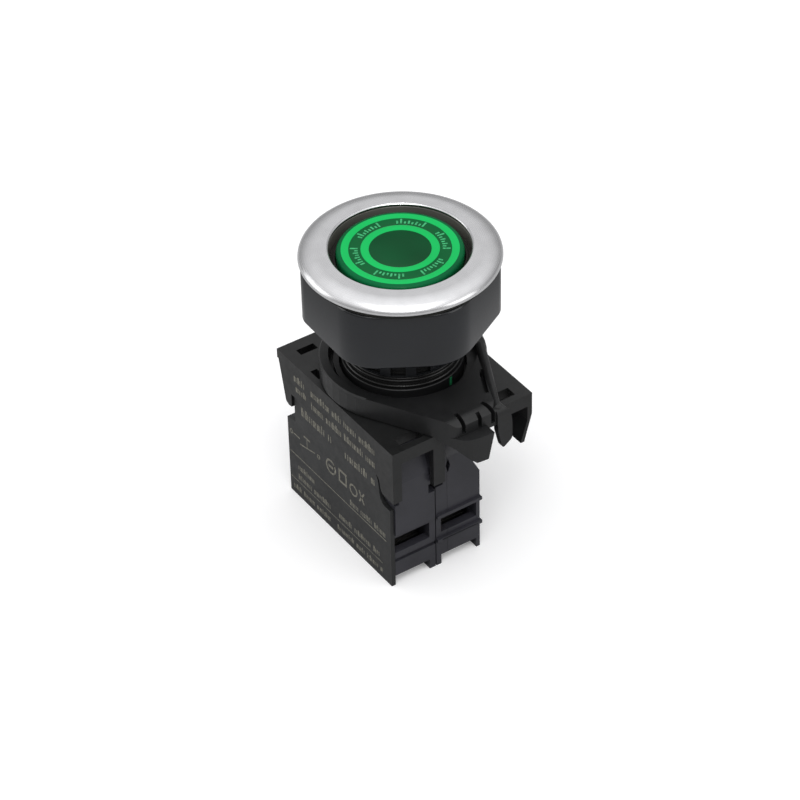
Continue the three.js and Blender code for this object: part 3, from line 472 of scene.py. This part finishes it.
def lathe(name, profile, finishes, segments=FULL_ROUND, shape=None, zone=None, sharp=32):
    """Turns a closed (radius, z) outline about Z.

    shape(angle, radius, z) may move a point, and zone(radius, z) picks a face's finish by its middle.
    """
    points = []
    faces = []
    marks = []
    count = len(profile)
    for i in range(segments):
        angle = 2 * math.pi * i / segments
        for radius, z in profile:
            r, h = shape(angle, radius, z) if shape else (radius, z)
            points.append((r * math.cos(angle), r * math.sin(angle), h))
    for i in range(segments):
        j = (i + 1) % segments
        for k in range(count):
            m = (k + 1) % count
            a, b = profile[k], profile[m]
            if abs(a[0]) < 1e-9 and abs(b[0]) < 1e-9:
                continue
            faces.append([i * count + k, j * count + k, j * count + m, i * count + m])
            marks.append(zone(0.5 * (a[0] + b[0]), 0.5 * (a[1] + b[1])) if zone else 0)
    return mesh_object(name, points, faces, finishes, marks, sharp)


def stack(name, loops, finishes, caps=(True, True), sharp=32):
    """Skins a list of loops with equally many points, and closes the ends."""
    count = len(loops[0])
    points = [p for loop in loops for p in loop]
    faces = []
    for n in range(len(loops) - 1):
        for k in range(count):
            m = (k + 1) % count
            faces.append([n * count + k, n * count + m, (n + 1) * count + m, (n + 1) * count + k])
    if caps[0]:
        faces.append(list(range(count)))
    if caps[1]:
        faces.append([(len(loops) - 1) * count + k for k in range(count)])
    return mesh_object(name, points, faces, finishes, sharp=sharp)


def prism(name, outline, low, high, finishes, axes="xyz", sharp=32):
    """Draws a flat outline from low to high, where axes names the outline's u and v and the depth."""
    order = ["xyz".index(a) for a in axes]

    def point(u, v, w):
        p = [0, 0, 0]
        for axis, value in zip(order, (u, v, w)):
            p[axis] = value
        return p

    loops = [[point(u, v, w) for u, v in outline] for w in (low, high)]
    return stack(name, loops, finishes, sharp=sharp)


def block(name, low, high, finishes):
    """A box between two corners, for cutting."""
    (x0, y0, z0), (x1, y1, z1) = low, high
    return prism(name, [(x0, y0), (x1, y0), (x1, y1), (x0, y1)], z0, z1, finishes)


def apply_all(obj):
    """Turns the object's modifiers into its mesh."""
    graph = bpy.context.evaluated_depsgraph_get()
    made = bpy.data.meshes.new_from_object(obj.evaluated_get(graph), depsgraph=graph)
    obj.modifiers.clear()
    old = obj.data
    obj.data = made
    bpy.data.meshes.remove(old)


def combine(obj, others, operation):
    """Cuts the others from obj, or joins them to it, and deletes them."""
    for other in others:
        step = obj.modifiers.new(operation.lower(), "BOOLEAN")
        step.operation = operation
        step.solver = "EXACT"
        step.object = other
        apply_all(obj)
        bpy.data.objects.remove(other)
    return obj


def soften(obj, width, angle=35):
    """Small moulded radii on the edges of a solid that turn by more than this angle."""
    bevel = obj.modifiers.new("edges", "BEVEL")
    bevel.width = width * MM
    bevel.segments = 2
    bevel.limit_method = "ANGLE"
    bevel.angle_limit = math.radians(angle)
    bevel.use_clamp_overlap = True
    bevel.harden_normals = True


def tidy_cad(node, finish, width):
    """A CAD solid shown as it is, with moulded radii of this width on its edges and its own finish."""
    obj = NODES[node]
    obj.data.materials.clear()
    obj.data.materials.append(finish)
    obj.data.polygons.foreach_set("material_index", [0] * len(obj.data.polygons))
    flat = obj.modifiers.new("flat_faces", "DECIMATE")
    flat.decimate_type = "DISSOLVE"
    flat.angle_limit = math.radians(0.6)
    if width:
        soften(obj, width)
    obj.data.polygons.foreach_set("use_smooth", [True] * len(obj.data.polygons))
    obj.data.set_sharp_from_angle(angle=math.radians(30))


def ride(obj, body, slot, *nodes):
    """Hangs a piece on its body and hides the CAD nodes that it stands for; slot is not used."""
    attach(obj, body)
    if nodes:
        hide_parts(*nodes)
    return obj


# ---------------------------------------------------------------- head
def bezel(metal):
    """The bezel: an inner lip, a narrow flat face, and a dome down to a thin edge."""
    lip = 0.5
    edge_height = 0.45
    dome_radii = (BEZEL_RADIUS - FLAT_RADIUS, BEZEL_FACE - edge_height)
    dome = list(arc((FLAT_RADIUS, edge_height), dome_radii, 90, 0, 32))
    profile = rounded([
        (COLLAR_RADIUS + 0.3, 0.0, 0.05),
        (COLLAR_RADIUS + 0.3, BEZEL_FACE - lip, 0.05),
        (OPENING_RADIUS, BEZEL_FACE - lip, 0.05),
        (OPENING_RADIUS, BEZEL_FACE - 0.22, 0.06),
        (OPENING_RADIUS + 0.24, BEZEL_FACE, 0.08),
    ])
    edge = rounded([
        (BEZEL_RADIUS, 0.38, 0.2),
        (BEZEL_RADIUS - 0.35, 0.0, 0.1),
    ])
    flat = [(FLAT_RADIUS - 0.9 * k, BEZEL_FACE) for k in (2, 1)]
    outline = profile + flat + dome + edge
    made = lathe("bezel_ring_turned", outline, [metal], FINE_ROUND, sharp=40)
    return ride(made, "chassis", "satin_metal", "bezel_ring")


def seal(rubber):
    """The seal: a foot on the collar, and a lip that leans in to wipe the lens."""
    low, high = corners("wiper_seal")
    profile = rounded([
        (LENS_RADIUS + 0.3, low[2], 0.05),
        (high[0], low[2], 0.05),
        (high[0], high[2] - 0.25, 0.15),
        (LENS_RADIUS + 0.75, high[2] - 0.25, 0.15),
        (LENS_RADIUS + 0.42, high[2], 0.1),
        (LENS_RADIUS + 0.12, high[2], 0.08),
        (LENS_RADIUS + 0.3, high[2] - 0.5, 0.1),
    ])
    return ride(lathe("wiper_seal_lip", profile, [rubber]), "chassis", "black_rubber", "wiper_seal")


def gasket(rubber):
    """The gasket under the bezel, with one groove in its lower face."""
    low, high = corners("panel_gasket")
    inner = THREAD_RADIUS + 0.3
    outer = high[0]
    middle = (inner + outer) / 2
    profile = rounded([
        (inner, low[2], 0.12),
        (middle - 0.35, low[2], 0.1),
        (middle, low[2] + 0.25, 0.15),
        (middle + 0.35, low[2], 0.1),
        (outer, low[2], 0.15),
        (outer, high[2], 0.15),
        (inner, high[2], 0.12),
    ])
    return ride(lathe("panel_gasket_ring", profile, [rubber]), "chassis", "black_rubber", "panel_gasket")


def ramp(value, start, end):
    """0 before start, 1 after end, and a smooth rise between."""
    t = min(1, max(0, (value - start) / (end - start)))
    return t * t * (3 - 2 * t)


def bushing(black):
    """The threaded barrel, with the collar that carries the seal and a floor that the sleeve sits on."""
    thread_steps = 60
    bottom = BARREL_BOTTOM
    thread_top = -0.5
    thread_drop = bottom + 0.9
    parts = [k / thread_steps for k in range(thread_steps + 1)]
    thread = [(THREAD_RADIUS, thread_top + thread_drop * part) for part in parts]
    outline = [
        (OPENING_RADIUS, COLLAR_TOP - 0.05), (OPENING_RADIUS + 0.05, COLLAR_TOP),
        (COLLAR_RADIUS - 0.05, COLLAR_TOP), (COLLAR_RADIUS, COLLAR_TOP - 0.05),
        (COLLAR_RADIUS, -0.1), (THREAD_RADIUS - 0.35, -0.1),
        *thread,
        (THREAD_RADIUS - 0.5, bottom + 0.2), (THREAD_RADIUS - 0.7, bottom),
        (SKIRT_RADIUS + 0.35, bottom), (SKIRT_RADIUS + 0.3, bottom + 0.05),
        (SKIRT_RADIUS + 0.3, bottom + 0.5), (BORE_RADIUS, bottom + 0.5),
        (BORE_RADIUS, -1.4), (OPENING_RADIUS, -1.4),
    ]

    def shape(angle, radius, z):
        if radius == THREAD_RADIUS and z < -0.2:
            turn = (z / THREAD_PITCH - angle / (2 * math.pi)) % 1
            return radius - THREAD_DEPTH * ramp(abs(2 * turn - 1), 0.15, 0.85), z
        return radius, z

    made = lathe("head_bushing_moulded", outline, [black], FULL_ROUND, shape, sharp=38)
    return ride(made, "chassis", "gloss_black_plastic", "head_bushing")


def sleeve(black):
    """The inner sleeve: a flange, a neck behind the window band, two beads, and the spring's shelf."""
    shelf = corners("return_spring")[0][2] - 0.14
    flange = SLEEVE_HIGH[0]
    top = SLEEVE_HIGH[2]
    shelf_hole = 4.6
    shelf_bottom = shelf - 1.2
    neck = BAND_BORE - 0.1
    neck_top = BAND_HIGH[2] + 0.1
    neck_bottom = BAND_LOW[2] - 0.1
    outline = [
        (SKIRT_BORE, top), (flange - 0.06, top), (flange, top - 0.06), (flange, top - 0.47),
        (SKIRT_RADIUS - 0.02, top - 0.5), (SKIRT_RADIUS, neck_top + 0.1), (SKIRT_RADIUS - 0.1, neck_top),
        (neck, neck_top), (neck, neck_bottom),
        (SKIRT_RADIUS - 0.1, neck_bottom), (SKIRT_RADIUS, neck_bottom - 0.1),
        *bead(UPPER_BEAD, SKIRT_RADIUS, SKIRT_RADIUS + 0.38, 0.32),
        *bead(LOWER_BEAD, SKIRT_RADIUS, SKIRT_RADIUS + 0.54, 0.34),
        (SKIRT_RADIUS, SLEEVE_BOTTOM), (SKIRT_BORE, SLEEVE_BOTTOM),
        (SKIRT_BORE, shelf_bottom), (shelf_hole, shelf_bottom), (shelf_hole, shelf), (SKIRT_BORE, shelf),
    ]
    made = lathe("skirt_sleeve_moulded", outline, [black], sharp=38)
    slots = []
    for side in (-1, 1):
        middle = side * PUSH_LEG_REACH
        low = (-2.0, middle - 1.3, shelf_bottom - 0.7)
        high = (2.0, middle + 1.3, shelf + 0.5)
        slots.append(block("leg_slot", low, high, [black]))
    combine(made, slots, "DIFFERENCE")
    smooth(made.data, 38)
    return ride(made, "chassis", "gloss_black_plastic", "skirt_sleeve")


def window_band(grey):
    """The moulded ring with a row of windows, which stand out as grey bars over the dark neck."""
    top, bottom = BAND_HIGH[2], BAND_LOW[2]
    outline = [(BAND_BORE, top), (SKIRT_RADIUS - 0.1, top), (SKIRT_RADIUS, top - 0.1),
               (SKIRT_RADIUS, bottom + 0.1), (SKIRT_RADIUS - 0.1, bottom), (BAND_BORE, bottom)]
    made = lathe("window_band_moulded", outline, [grey], SKIRT_WINDOWS * 14, sharp=38)
    points = []
    faces = []
    half = WINDOW_WIDTH / 2
    opening = ((-half, WINDOW_BOTTOM), (half, WINDOW_BOTTOM), (half, WINDOW_TOP), (-half, WINDOW_TOP))
    for k in range(SKIRT_WINDOWS):
        angle = 2 * math.pi * (k + 0.5) / SKIRT_WINDOWS
        out = Vector((math.cos(angle), math.sin(angle), 0))
        across = Vector((-math.sin(angle), math.cos(angle), 0))
        start = len(points)
        for reach in (BAND_BORE - 0.4, SKIRT_RADIUS + 0.5):
            for side, z in opening:
                points.append(tuple(out * reach + across * side + Vector((0, 0, z))))
        faces += [[start + i for i in face] for face in BOX_FACES]
    combine(made, [mesh_object("windows", points, faces, [grey])], "DIFFERENCE")
    soften(made, 0.09, 40)
    smooth(made.data, 38)
    return ride(made, "chassis", "grey_plastic", "window_band")


def spigot(black):
    """The foot that the lock ring grips."""
    top, bottom = SLEEVE_BOTTOM, SPIGOT_BOTTOM
    outline = [
        (SKIRT_BORE, top), (SPIGOT_RADIUS - 0.12, top), (SPIGOT_RADIUS, top - 0.12),
        (SPIGOT_RADIUS, bottom + 0.3), (SPIGOT_RADIUS - 0.3, bottom),
        (SKIRT_BORE + 0.1, bottom), (SKIRT_BORE, bottom + 0.1),
    ]
    made = lathe("bayonet_spigot_moulded", outline, [black], sharp=38)
    return ride(made, "chassis", "gloss_black_plastic", "bayonet_spigot")


def bead(z, foot, crown, half):
    """The profile of a round bead on a cylinder, from its upper foot to its lower one."""
    steps = 10
    angles = [math.pi * k / steps for k in range(steps + 1)]
    return [(foot + (crown - foot) * math.sin(a), z + half * math.cos(a)) for a in angles]


def index_stroke(paint):
    """The green stroke on the spigot, bent to its round face."""
    low, high = corners("index_mark")
    middle = math.radians(INDEX_PLACE)
    half = INDEX_WIDTH / 2 / SPIGOT_RADIUS
    inner = SPIGOT_RADIUS + 0.01
    sides = ((-half, low[2]), (half, low[2]), (half, high[2]), (-half, high[2]))
    outline = rounded([(across, z, 0.03) for across, z in sides], 3)
    loops = []
    for radius in (inner, inner + 0.1):
        loop = []
        for across, z in outline:
            angle = middle + across
            loop.append((radius * math.cos(angle), radius * math.sin(angle), z))
        loops.append(loop)
    return ride(stack("index_stroke", loops, [paint]), "chassis", "green_paint", "index_mark")


def hexagon(inset):
    """The nut's outline, this far inside its flats, with as many points at any inset."""
    arc_steps = 18
    side_steps = 8
    rounds = []
    for side in range(6):
        heading = side * 60 + NUT_TURN
        corner = NUT_GRIP_CORNER if side % 3 == 1 else NUT_CORNER
        reach = (NUT_FLATS / 2 - corner) / math.cos(math.pi / 6)
        centre = (reach * math.cos(math.radians(heading)), reach * math.sin(math.radians(heading)))
        radius = corner - inset
        rounds.append(list(arc(centre, (radius, radius), heading - 30, heading + 30, arc_steps)))
    loop = []
    for side, points in enumerate(rounds):
        loop += points
        start, end = Vector(points[-1]), Vector(rounds[(side + 1) % 6][0])
        loop += [tuple(start.lerp(end, k / side_steps)) for k in range(1, side_steps)]
    return loop


def nut(grey):
    """The clamp nut: six flats with round corners, a rolled lower edge and a threaded hole."""
    roll = 0.45
    mouth = 0.35
    levels = [(NUT_TOP, 0.5), (NUT_TOP - 0.15, 0.2), (NUT_TOP - 0.5, 0.0)]
    for step in range(7):
        a = math.radians(step * 15)
        levels.append((NUT_BOTTOM + roll * (1 - math.sin(a)), roll * (1 - math.cos(a))))
    loops = [[(x, y, z) for x, y in hexagon(inset)] for z, inset in levels]
    angles = [math.atan2(y, x) for x, y, _ in loops[0]]
    for z, radius in ((NUT_BOTTOM, NUT_HOLE + mouth), (NUT_BOTTOM + mouth, NUT_HOLE)):
        loops.append([(radius * math.cos(a), radius * math.sin(a), z) for a in angles])
    thread_steps = 36
    for k in range(1, thread_steps):
        z = NUT_BOTTOM + mouth + (NUT_TOP - NUT_BOTTOM - 2 * mouth) * k / thread_steps
        ring = []
        for a in angles:
            turn = (z / THREAD_PITCH - a / (2 * math.pi)) % 1
            radius = NUT_HOLE + 0.3 * ramp(abs(2 * turn - 1), 0.2, 0.8)
            ring.append((radius * math.cos(a), radius * math.sin(a), z))
        loops.append(ring)
    for z, radius in ((NUT_TOP - mouth, NUT_HOLE), (NUT_TOP, NUT_HOLE + mouth)):
        loops.append([(radius * math.cos(a), radius * math.sin(a), z) for a in angles])
    loops.append(loops[0])
    made = stack("clamp_nut_moulded", loops, [grey], caps=(False, False), sharp=40)
    return ride(made, "clamp_nut", "grey_plastic", "clamp_nut")


# ---------------------------------------------------------------- button
# Radii of the lens rings, each named for the zone that lies inside it.
RIM_INSIDE = 10.6
BAND_OUTSIDE = 9.27
BAND_INSIDE = 7.1
CENTRE_RADIUS = 5.64
BAND_STEP = 0.05


def lens(bright, band, dark, rim):
    """The lens: two bright rings round a sunk band and a darker centre."""
    step = BAND_STEP
    face = LENS_FACE
    ceiling = face - 1.3
    holder = corners("legend_disc")[1][0] + 0.3
    top = [
        (0.0, face - step * 0.6), (CENTRE_RADIUS * 0.5, face - step * 0.7),
        (CENTRE_RADIUS - 0.05, face - step), (CENTRE_RADIUS + 0.03, face),
        (BAND_INSIDE - 0.05, face), (BAND_INSIDE + 0.03, face - step),
        (BAND_OUTSIDE - 0.05, face - step), (BAND_OUTSIDE + 0.03, face),
        (RIM_INSIDE - 0.02, face),
    ]
    shoulder = list(arc((LENS_RADIUS - 0.7, face - 0.72), (0.7, 0.7), 90, 0, 12))
    outline = top + shoulder + [
        (LENS_RADIUS, LENS_BOTTOM + 0.15), (LENS_RADIUS - 0.15, LENS_BOTTOM),
        (holder + 0.1, LENS_BOTTOM), (holder, LENS_BOTTOM + 0.1),
        (holder, ceiling), (0.0, ceiling),
    ]

    finishes = [bright, band, dark, rim]

    def zone(radius, z):
        if z < face - 0.12 or radius > RIM_INSIDE - 0.03:
            return finishes.index(rim)
        if radius > BAND_OUTSIDE - 0.02:
            return finishes.index(bright)
        if radius > BAND_INSIDE - 0.02:
            return finishes.index(band)
        if radius > CENTRE_RADIUS - 0.02:
            return finishes.index(bright)
        return finishes.index(dark)

    made = lathe("button_lens_polished", outline, finishes, FINE_ROUND, zone=zone, sharp=40)
    return ride(made, "button", "green_lens", "button_lens")


def lens_bars(ink):
    """Six groups of short radial bars round the band, some taller than the others."""
    points = []
    faces = []
    low = LENS_FACE - BAND_STEP + 0.005
    high = low + 0.03
    groups = 6
    first_group = 12
    spacing = 5.0
    half_width = 0.17
    foot = 7.55
    ends = (8.95, 8.2, 8.5, 8.2, 8.5, 8.2, 8.95, 8.4)
    for group in range(groups):
        for k, end in enumerate(ends):
            angle = math.radians(first_group + group * 360 / groups + (k - 3.5) * spacing)
            across = Vector((-math.sin(angle), math.cos(angle), 0)) * half_width
            along = Vector((math.cos(angle), math.sin(angle), 0))
            start = len(points)
            for z in (low, high):
                for reach, side in ((foot, -1), (end, -1), (end, 1), (foot, 1)):
                    points.append(tuple(along * reach + across * side + Vector((0, 0, z))))
            faces += [[start + i for i in face] for face in BOX_FACES]
    made = mesh_object("lens_bars", points, faces, [ink])
    return ride(made, "button", "green_lens")


# ---------------------------------------------------------------- springs
def coil(name, centre, radius, wire, low, high, turns, finish):
    """A round-wire compression spring. wire is its wire's radius, and each end has one closed turn."""
    sections = []
    dead = 1.0
    total = turns + 2 * dead
    steps_a_turn = 28
    steps = int(total * steps_a_turn)
    sides = 10
    for s in range(steps + 1):
        t = total * s / steps
        live = min(max(t - dead, 0), turns) / turns
        closed = wire * 2 * (min(t, dead) + max(0, t - dead - turns))
        z = low + wire + closed + (high - low - 2 * wire - 4 * wire * dead) * live
        angle = 2 * math.pi * t
        out = Vector((math.cos(angle), math.sin(angle), 0))
        middle = Vector((*centre, z)) + out * radius
        ring = []
        for k in range(sides):
            a = 2 * math.pi * k / sides
            ring.append(tuple(middle + out * wire * math.cos(a) + Vector((0, 0, wire * math.sin(a)))))
        sections.append(ring)
    return stack(name, sections, [finish], sharp=50)


def springs(steel):
    """The return spring, the plunger's spring under it, and the one that rides behind the bridge."""
    low, high = corners("return_spring")
    made = coil("return_spring_coil", (0, 0), 5.4, 0.3, low[2] - 0.1, high[2] + 0.08, 4.0, steel)
    ride(made, "chassis", "spring_steel", "return_spring")
    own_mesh(made)

    low, high = corners("plunger_spring")
    y = (low[1] + high[1]) / 2
    made = coil("plunger_spring_coil", (0, y), 1.9, 0.25, low[2] - 0.1, high[2] + 0.05, 3.0, steel)
    ride(made, "chassis", "spring_steel", "plunger_spring")
    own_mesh(made)

    low, high = corners("contact_spring")
    y = (low[1] + high[1]) / 2
    made = coil("contact_spring_coil", (0, y), 1.2, 0.2, low[2] - 0.05, high[2], 2.6, steel)
    ride(made, "contact_carriage", "spring_steel", "contact_spring")


# ---------------------------------------------------------------- terminals
def terminal_screw(node, body, steel):
    """A cheese-head screw with a combined slot and cross, and a rolled thread."""
    low, high = corners(node)
    x = (low[0] + high[0]) / 2
    y = (low[1] + high[1]) / 2
    head_radius = (high[0] - low[0]) / 2
    bottom = low[2]
    head_top = bottom + 1.9
    tip = high[2]
    shank = 1.5
    rows = 60
    thread_low = head_top + 0.25
    thread_length = tip - head_top - 0.6
    thread = [(shank, thread_low + thread_length * k / rows) for k in range(rows + 1)]
    outline = [
        (0.0, bottom + 0.02), (head_radius - 0.5, bottom + 0.02), (head_radius - 0.22, bottom + 0.1),
        (head_radius - 0.04, bottom + 0.32), (head_radius, bottom + 0.6),
        (head_radius, head_top - 0.12), (head_radius - 0.12, head_top),
        (shank + 0.15, head_top), (shank - 0.02, head_top + 0.15),
        *thread, (shank - 0.35, tip - 0.12), (shank - 0.5, tip), (0.0, tip),
    ]

    def shape(angle, radius, z):
        if radius == shank:
            turn = (z / SCREW_PITCH - angle / (2 * math.pi)) % 1
            return radius - 0.28 * ramp(abs(2 * turn - 1), 0.1, 0.9), z
        return radius, z

    made = lathe(node + "_turned", outline, [steel], 48, shape, sharp=40)
    cuts = [block("slot", (-2.9, -0.4, bottom - 0.3), (2.9, 0.4, bottom + 0.95), [steel]),
            block("cross", (-0.4, -1.7, bottom - 0.3), (0.4, 1.7, bottom + 1.15), [steel])]
    combine(made, cuts, "DIFFERENCE")
    made.data.transform(Matrix.Translation((x * MM, y * MM, 0)))
    smooth(made.data, 40)
    return ride(made, body, "plated_steel", node)


def wire_clamp(node, body, steel):
    """A pressure plate: serrated where it grips the wire, with a screw hole."""
    low, high = corners(node)
    teeth = 9
    width = high[0] - low[0]
    outline = [(low[0], low[2]), (high[0], low[2]), (high[0], high[2] - 0.08)]
    for k in range(teeth):
        x = high[0] - width * (k + 0.5) / teeth
        outline += [(x + width * 0.2 / teeth, high[2] - 0.02), (x - width * 0.3 / teeth, high[2] - 0.18)]
    outline.append((low[0], high[2] - 0.08))
    made = prism(node + "_plate", outline, low[1], high[1], [steel], "xzy")
    x, y = (low[0] + high[0]) / 2, (low[1] + high[1]) / 2
    hole_radius = 1.65
    outline = list(arc((x, y), (hole_radius, hole_radius), 0, 350, 35))
    hole = prism("hole", outline, low[2] - 0.5, high[2] + 0.5, [steel])
    combine(made, [hole], "DIFFERENCE")
    soften(made, 0.05)
    smooth(made.data, 30)
    return ride(made, body, "plated_steel", node)


# ---------------------------------------------------------------- print
class Ink:
    """Flat printed shapes on a face that looks along -Y, raised a little from it."""

    def __init__(self, face):
        self.back = face - 0.003
        self.front = face - 0.02
        self.points = []
        self.faces = []

    def shape(self, outline):
        start = len(self.points)
        n = len(outline)
        for y in (self.back, self.front):
            self.points += [(x, y, z) for x, z in outline]
        self.faces.append([start + i for i in range(n)])
        self.faces.append([start + n + i for i in range(n)])
        for i in range(n):
            j = (i + 1) % n
            self.faces.append([start + i, start + j, start + n + j, start + n + i])

    def bar(self, x0, x1, z0, z1):
        self.shape([(x0, z0), (x1, z0), (x1, z1), (x0, z1)])

    def stroke(self, a, b, width):
        along = (Vector(b) - Vector(a)).normalized()
        side = Vector((-along.y, along.x)) * width / 2
        a, b = Vector(a), Vector(b)
        self.shape([tuple(a - side), tuple(b - side), tuple(b + side), tuple(a + side)])

    def ring(self, x, z, radius, width, steps=28):
        outer = list(arc((x, z), (radius, radius), 0, 360, steps))
        inner = list(arc((x, z), (radius - width, radius - width), 0, 360, steps))
        for k in range(steps):
            self.shape([outer[k], outer[k + 1], inner[k + 1], inner[k]])

    def dashes(self, x0, x1, z0, z1, seed, pitch):
        """A row of plain upright ticks, in groups whose lengths follow from the seed."""
        x = x0
        count = 0
        while x < x1 - pitch * 0.5:
            word = (seed * 7 + count * 5) % 4 + 3
            for k in range(word):
                if x > x1 - pitch * 0.5:
                    break
                tall = (seed + k * 3 + count) % 5 in (0, 3)
                top = z1 if tall else z0 + (z1 - z0) * 0.76
                wide = pitch * (0.42 if (seed + k * 2 + count) % 3 else 0.24)
                self.bar(x, x + wide, z0, top)
                self.bar(x + pitch * 0.56, x + pitch * 0.76, z0, z0 + (z1 - z0) * 0.76)
                x += pitch
            x += pitch * 0.7
            count += 1

    def finish(self, name, ink):
        return ride(mesh_object(name, self.points, self.faces, [ink]), "chassis", "white_plastic")


def label_print(ink):
    """The label side: rows of ticks, rule lines, a switch symbol and simple shapes."""
    plate = Ink(SKIRT_FACE)
    plate.dashes(-7.7, 13.2, -30.0, -28.4, 1, 1.05)
    plate.dashes(-7.7, 13.4, -33.0, -31.4, 3, 1.05)
    plate.dashes(-13.4, -9.4, -30.0, -28.4, 2, 1.25)
    plate.dashes(-12.9, -9.2, -32.2, -30.8, 4, 1.25)
    plate.finish("plate_print", ink)

    cover = Ink(COVER_FACE)
    cover.dashes(-12.0, -1.0, -37.5, -35.5, 5, 1.35)
    cover.dashes(2.6, 12.2, -37.9, -36.1, 6, 1.5)
    cover.ring(-15.9, -43.8, 0.55, 0.25)
    cover.stroke((-15.2, -43.8), (-13.0, -43.8), 0.28)
    cover.stroke((-13.0, -45.1), (-7.9, -43.9), 0.28)
    cover.ring(-6.6, -43.9, 0.55, 0.25)
    cover.stroke((-10.5, -44.3), (-10.5, -42.4), 0.22)
    cover.bar(-11.6, -9.4, -42.4, -42.05)
    cover.ring(-2.4, -43.4, 1.7, 0.42)
    cover.bar(-3.2, -1.6, -43.7, -43.1)
    cover.bar(0.2, 2.9, -44.9, -44.4)
    cover.bar(0.2, 2.9, -42.3, -41.8)
    cover.bar(0.2, 0.65, -44.4, -42.3)
    cover.bar(2.45, 2.9, -44.4, -42.3)
    cover.ring(5.1, -43.9, 1.35, 0.38)
    cover.stroke((7.0, -45.1), (8.6, -42.5), 0.4)
    cover.stroke((7.0, -42.5), (8.6, -45.1), 0.4)
    cover.dashes(3.8, 15.6, -48.2, -46.9, 8, 0.95)
    cover.bar(-16.6, 15.7, -48.92, -48.72)
    cover.dashes(-14.0, -8.0, -51.9, -50.6, 9, 0.95)
    cover.dashes(-14.1, -2.3, -54.3, -53.0, 10, 0.95)
    cover.dashes(-0.2, 12.9, -54.2, -52.9, 11, 1.1)
    cover.bar(-16.7, 14.2, -55.2, -55.05)
    cover.dashes(-15.9, -2.1, -57.5, -56.3, 12, 0.95)
    cover.dashes(-0.9, 14.6, -57.5, -56.3, 13, 0.95)
    cover.finish("cover_print", ink)


# ---------------------------------------------------------------- assembly
def build():
    """Every finish, every made piece, and every CAD solid that is shown as it is."""
    metal = turned_metal("satin_metal", (0.82, 0.82, 0.83), 0.24)
    nut_grey = moulded("nut_grey", (0.0075, 0.0088, 0.0115), 0.16, grain=0.0005, specular=0.6)
    black = moulded("block_black", (0.029, 0.029, 0.036), 0.34)
    cover_black = moulded("cover_black", (0.0125, 0.0132, 0.0135), 0.42)
    plate_black = moulded("plate_black", (0.0085, 0.0088, 0.0088), 0.42)
    ring_black = moulded("ring_black", (0.0095, 0.0098, 0.0102), 0.42)
    gloss = moulded("gloss_black", (0.012, 0.012, 0.0118), 0.17, grain=0.0003, grain_scale=1.5)
    # The collar's grey is partly its own dark grey plastic and partly painted light: lightened so the
    # shaded cavity round the lens reads lit.
    collar_grey_painted_light = moulded("collar_grey_painted_light", (0.12, 0.12, 0.105), 0.32, grain=0.0015)
    band_grey = moulded("band_grey", (0.016, 0.017, 0.019), 0.18, grain=0.0003)
    rubber = moulded("seal_rubber", (0.018, 0.018, 0.015), 0.7, grain=0.006, specular=0.25)
    white = moulded("white_plastic", (0.72, 0.74, 0.71), 0.45)
    mark = moulded("mark_green", (0.015, 0.2, 0.075), 0.5)
    bright = polished("lens_bright", (0.012, 0.52, 0.12), 0.14, (0.010, 0.47, 0.105))
    band = polished("lens_band", (0.006, 0.12, 0.035), 0.12)
    dark = polished("lens_centre", (0.006, 0.085, 0.028), 0.1, (0.004, 0.055, 0.018))
    rim = polished("lens_rim", (0.004, 0.14, 0.045), 0.12, (0.003, 0.09, 0.03))
    bar_ink = printed_ink("bar_ink", (0.06, 0.52, 0.2))
    steel = plated("spring_steel", (0.58, 0.59, 0.6), 0.3)
    nickel = plated("nickel_plate", (0.66, 0.65, 0.62), 0.26)
    # The clamps' zinc is painted far darker than real zinc plate: painted shade for the deep wire
    # openings.
    clamp_metal_shade_dark = plated("zinc_darkened_as_shade", (0.06, 0.06, 0.058), 0.5)
    brass = plated("brass_strip", (0.66, 0.48, 0.2), 0.3)
    ink = printed_ink("label_ink", (0.25, 0.24, 0.2))
    resin = polished("lamp_resin", (0.6, 0.82, 0.64), 0.08)

    make_floor(floor_finish())
    bezel(metal)
    seal(rubber)
    gasket(rubber)
    bushing(collar_grey_painted_light)
    sleeve(gloss)
    window_band(band_grey)
    spigot(ring_black)
    index_stroke(mark)
    nut(nut_grey)
    lens(bright, band, dark, rim)
    lens_bars(bar_ink)
    springs(steel)
    for block_name in ("contact", "lamp"):
        for side in ("front", "rear"):
            terminal_screw(f"{block_name}_screw_{side}", f"{block_name}_{side}_screw", nickel)
            wire_clamp(f"{block_name}_clamp_{side}", f"{block_name}_{side}_clamp", clamp_metal_shade_dark)
    label_print(ink)

    for node, finish, width in (
        ("base_plate", plate_black, 0.14), ("lock_ring", ring_black, 0.12),
        ("contact_housing", black, 0.12), ("contact_cover", cover_black, 0.1),
        ("lamp_housing", black, 0.12), ("lamp_cover", black, 0.12),
        ("legend_disc", white, 0.08), ("lens_holder", white, 0.1),
        ("contact_plunger", white, 0.1), ("contact_bridge", brass, 0.06),
        ("fixed_contact_front", brass, 0.06), ("fixed_contact_rear", brass, 0.06),
        ("lamp_terminal_front", brass, 0.06), ("lamp_terminal_rear", brass, 0.06),
        ("circuit_board", board_finish(), 0.05), ("led_lamp", resin, 0.0),
        ("resistor", resistor_finish(), 0.0), ("rectifier", gloss, 0.08),
    ):
        tidy_cad(node, finish, width)


make_camera()
make_light()
build()
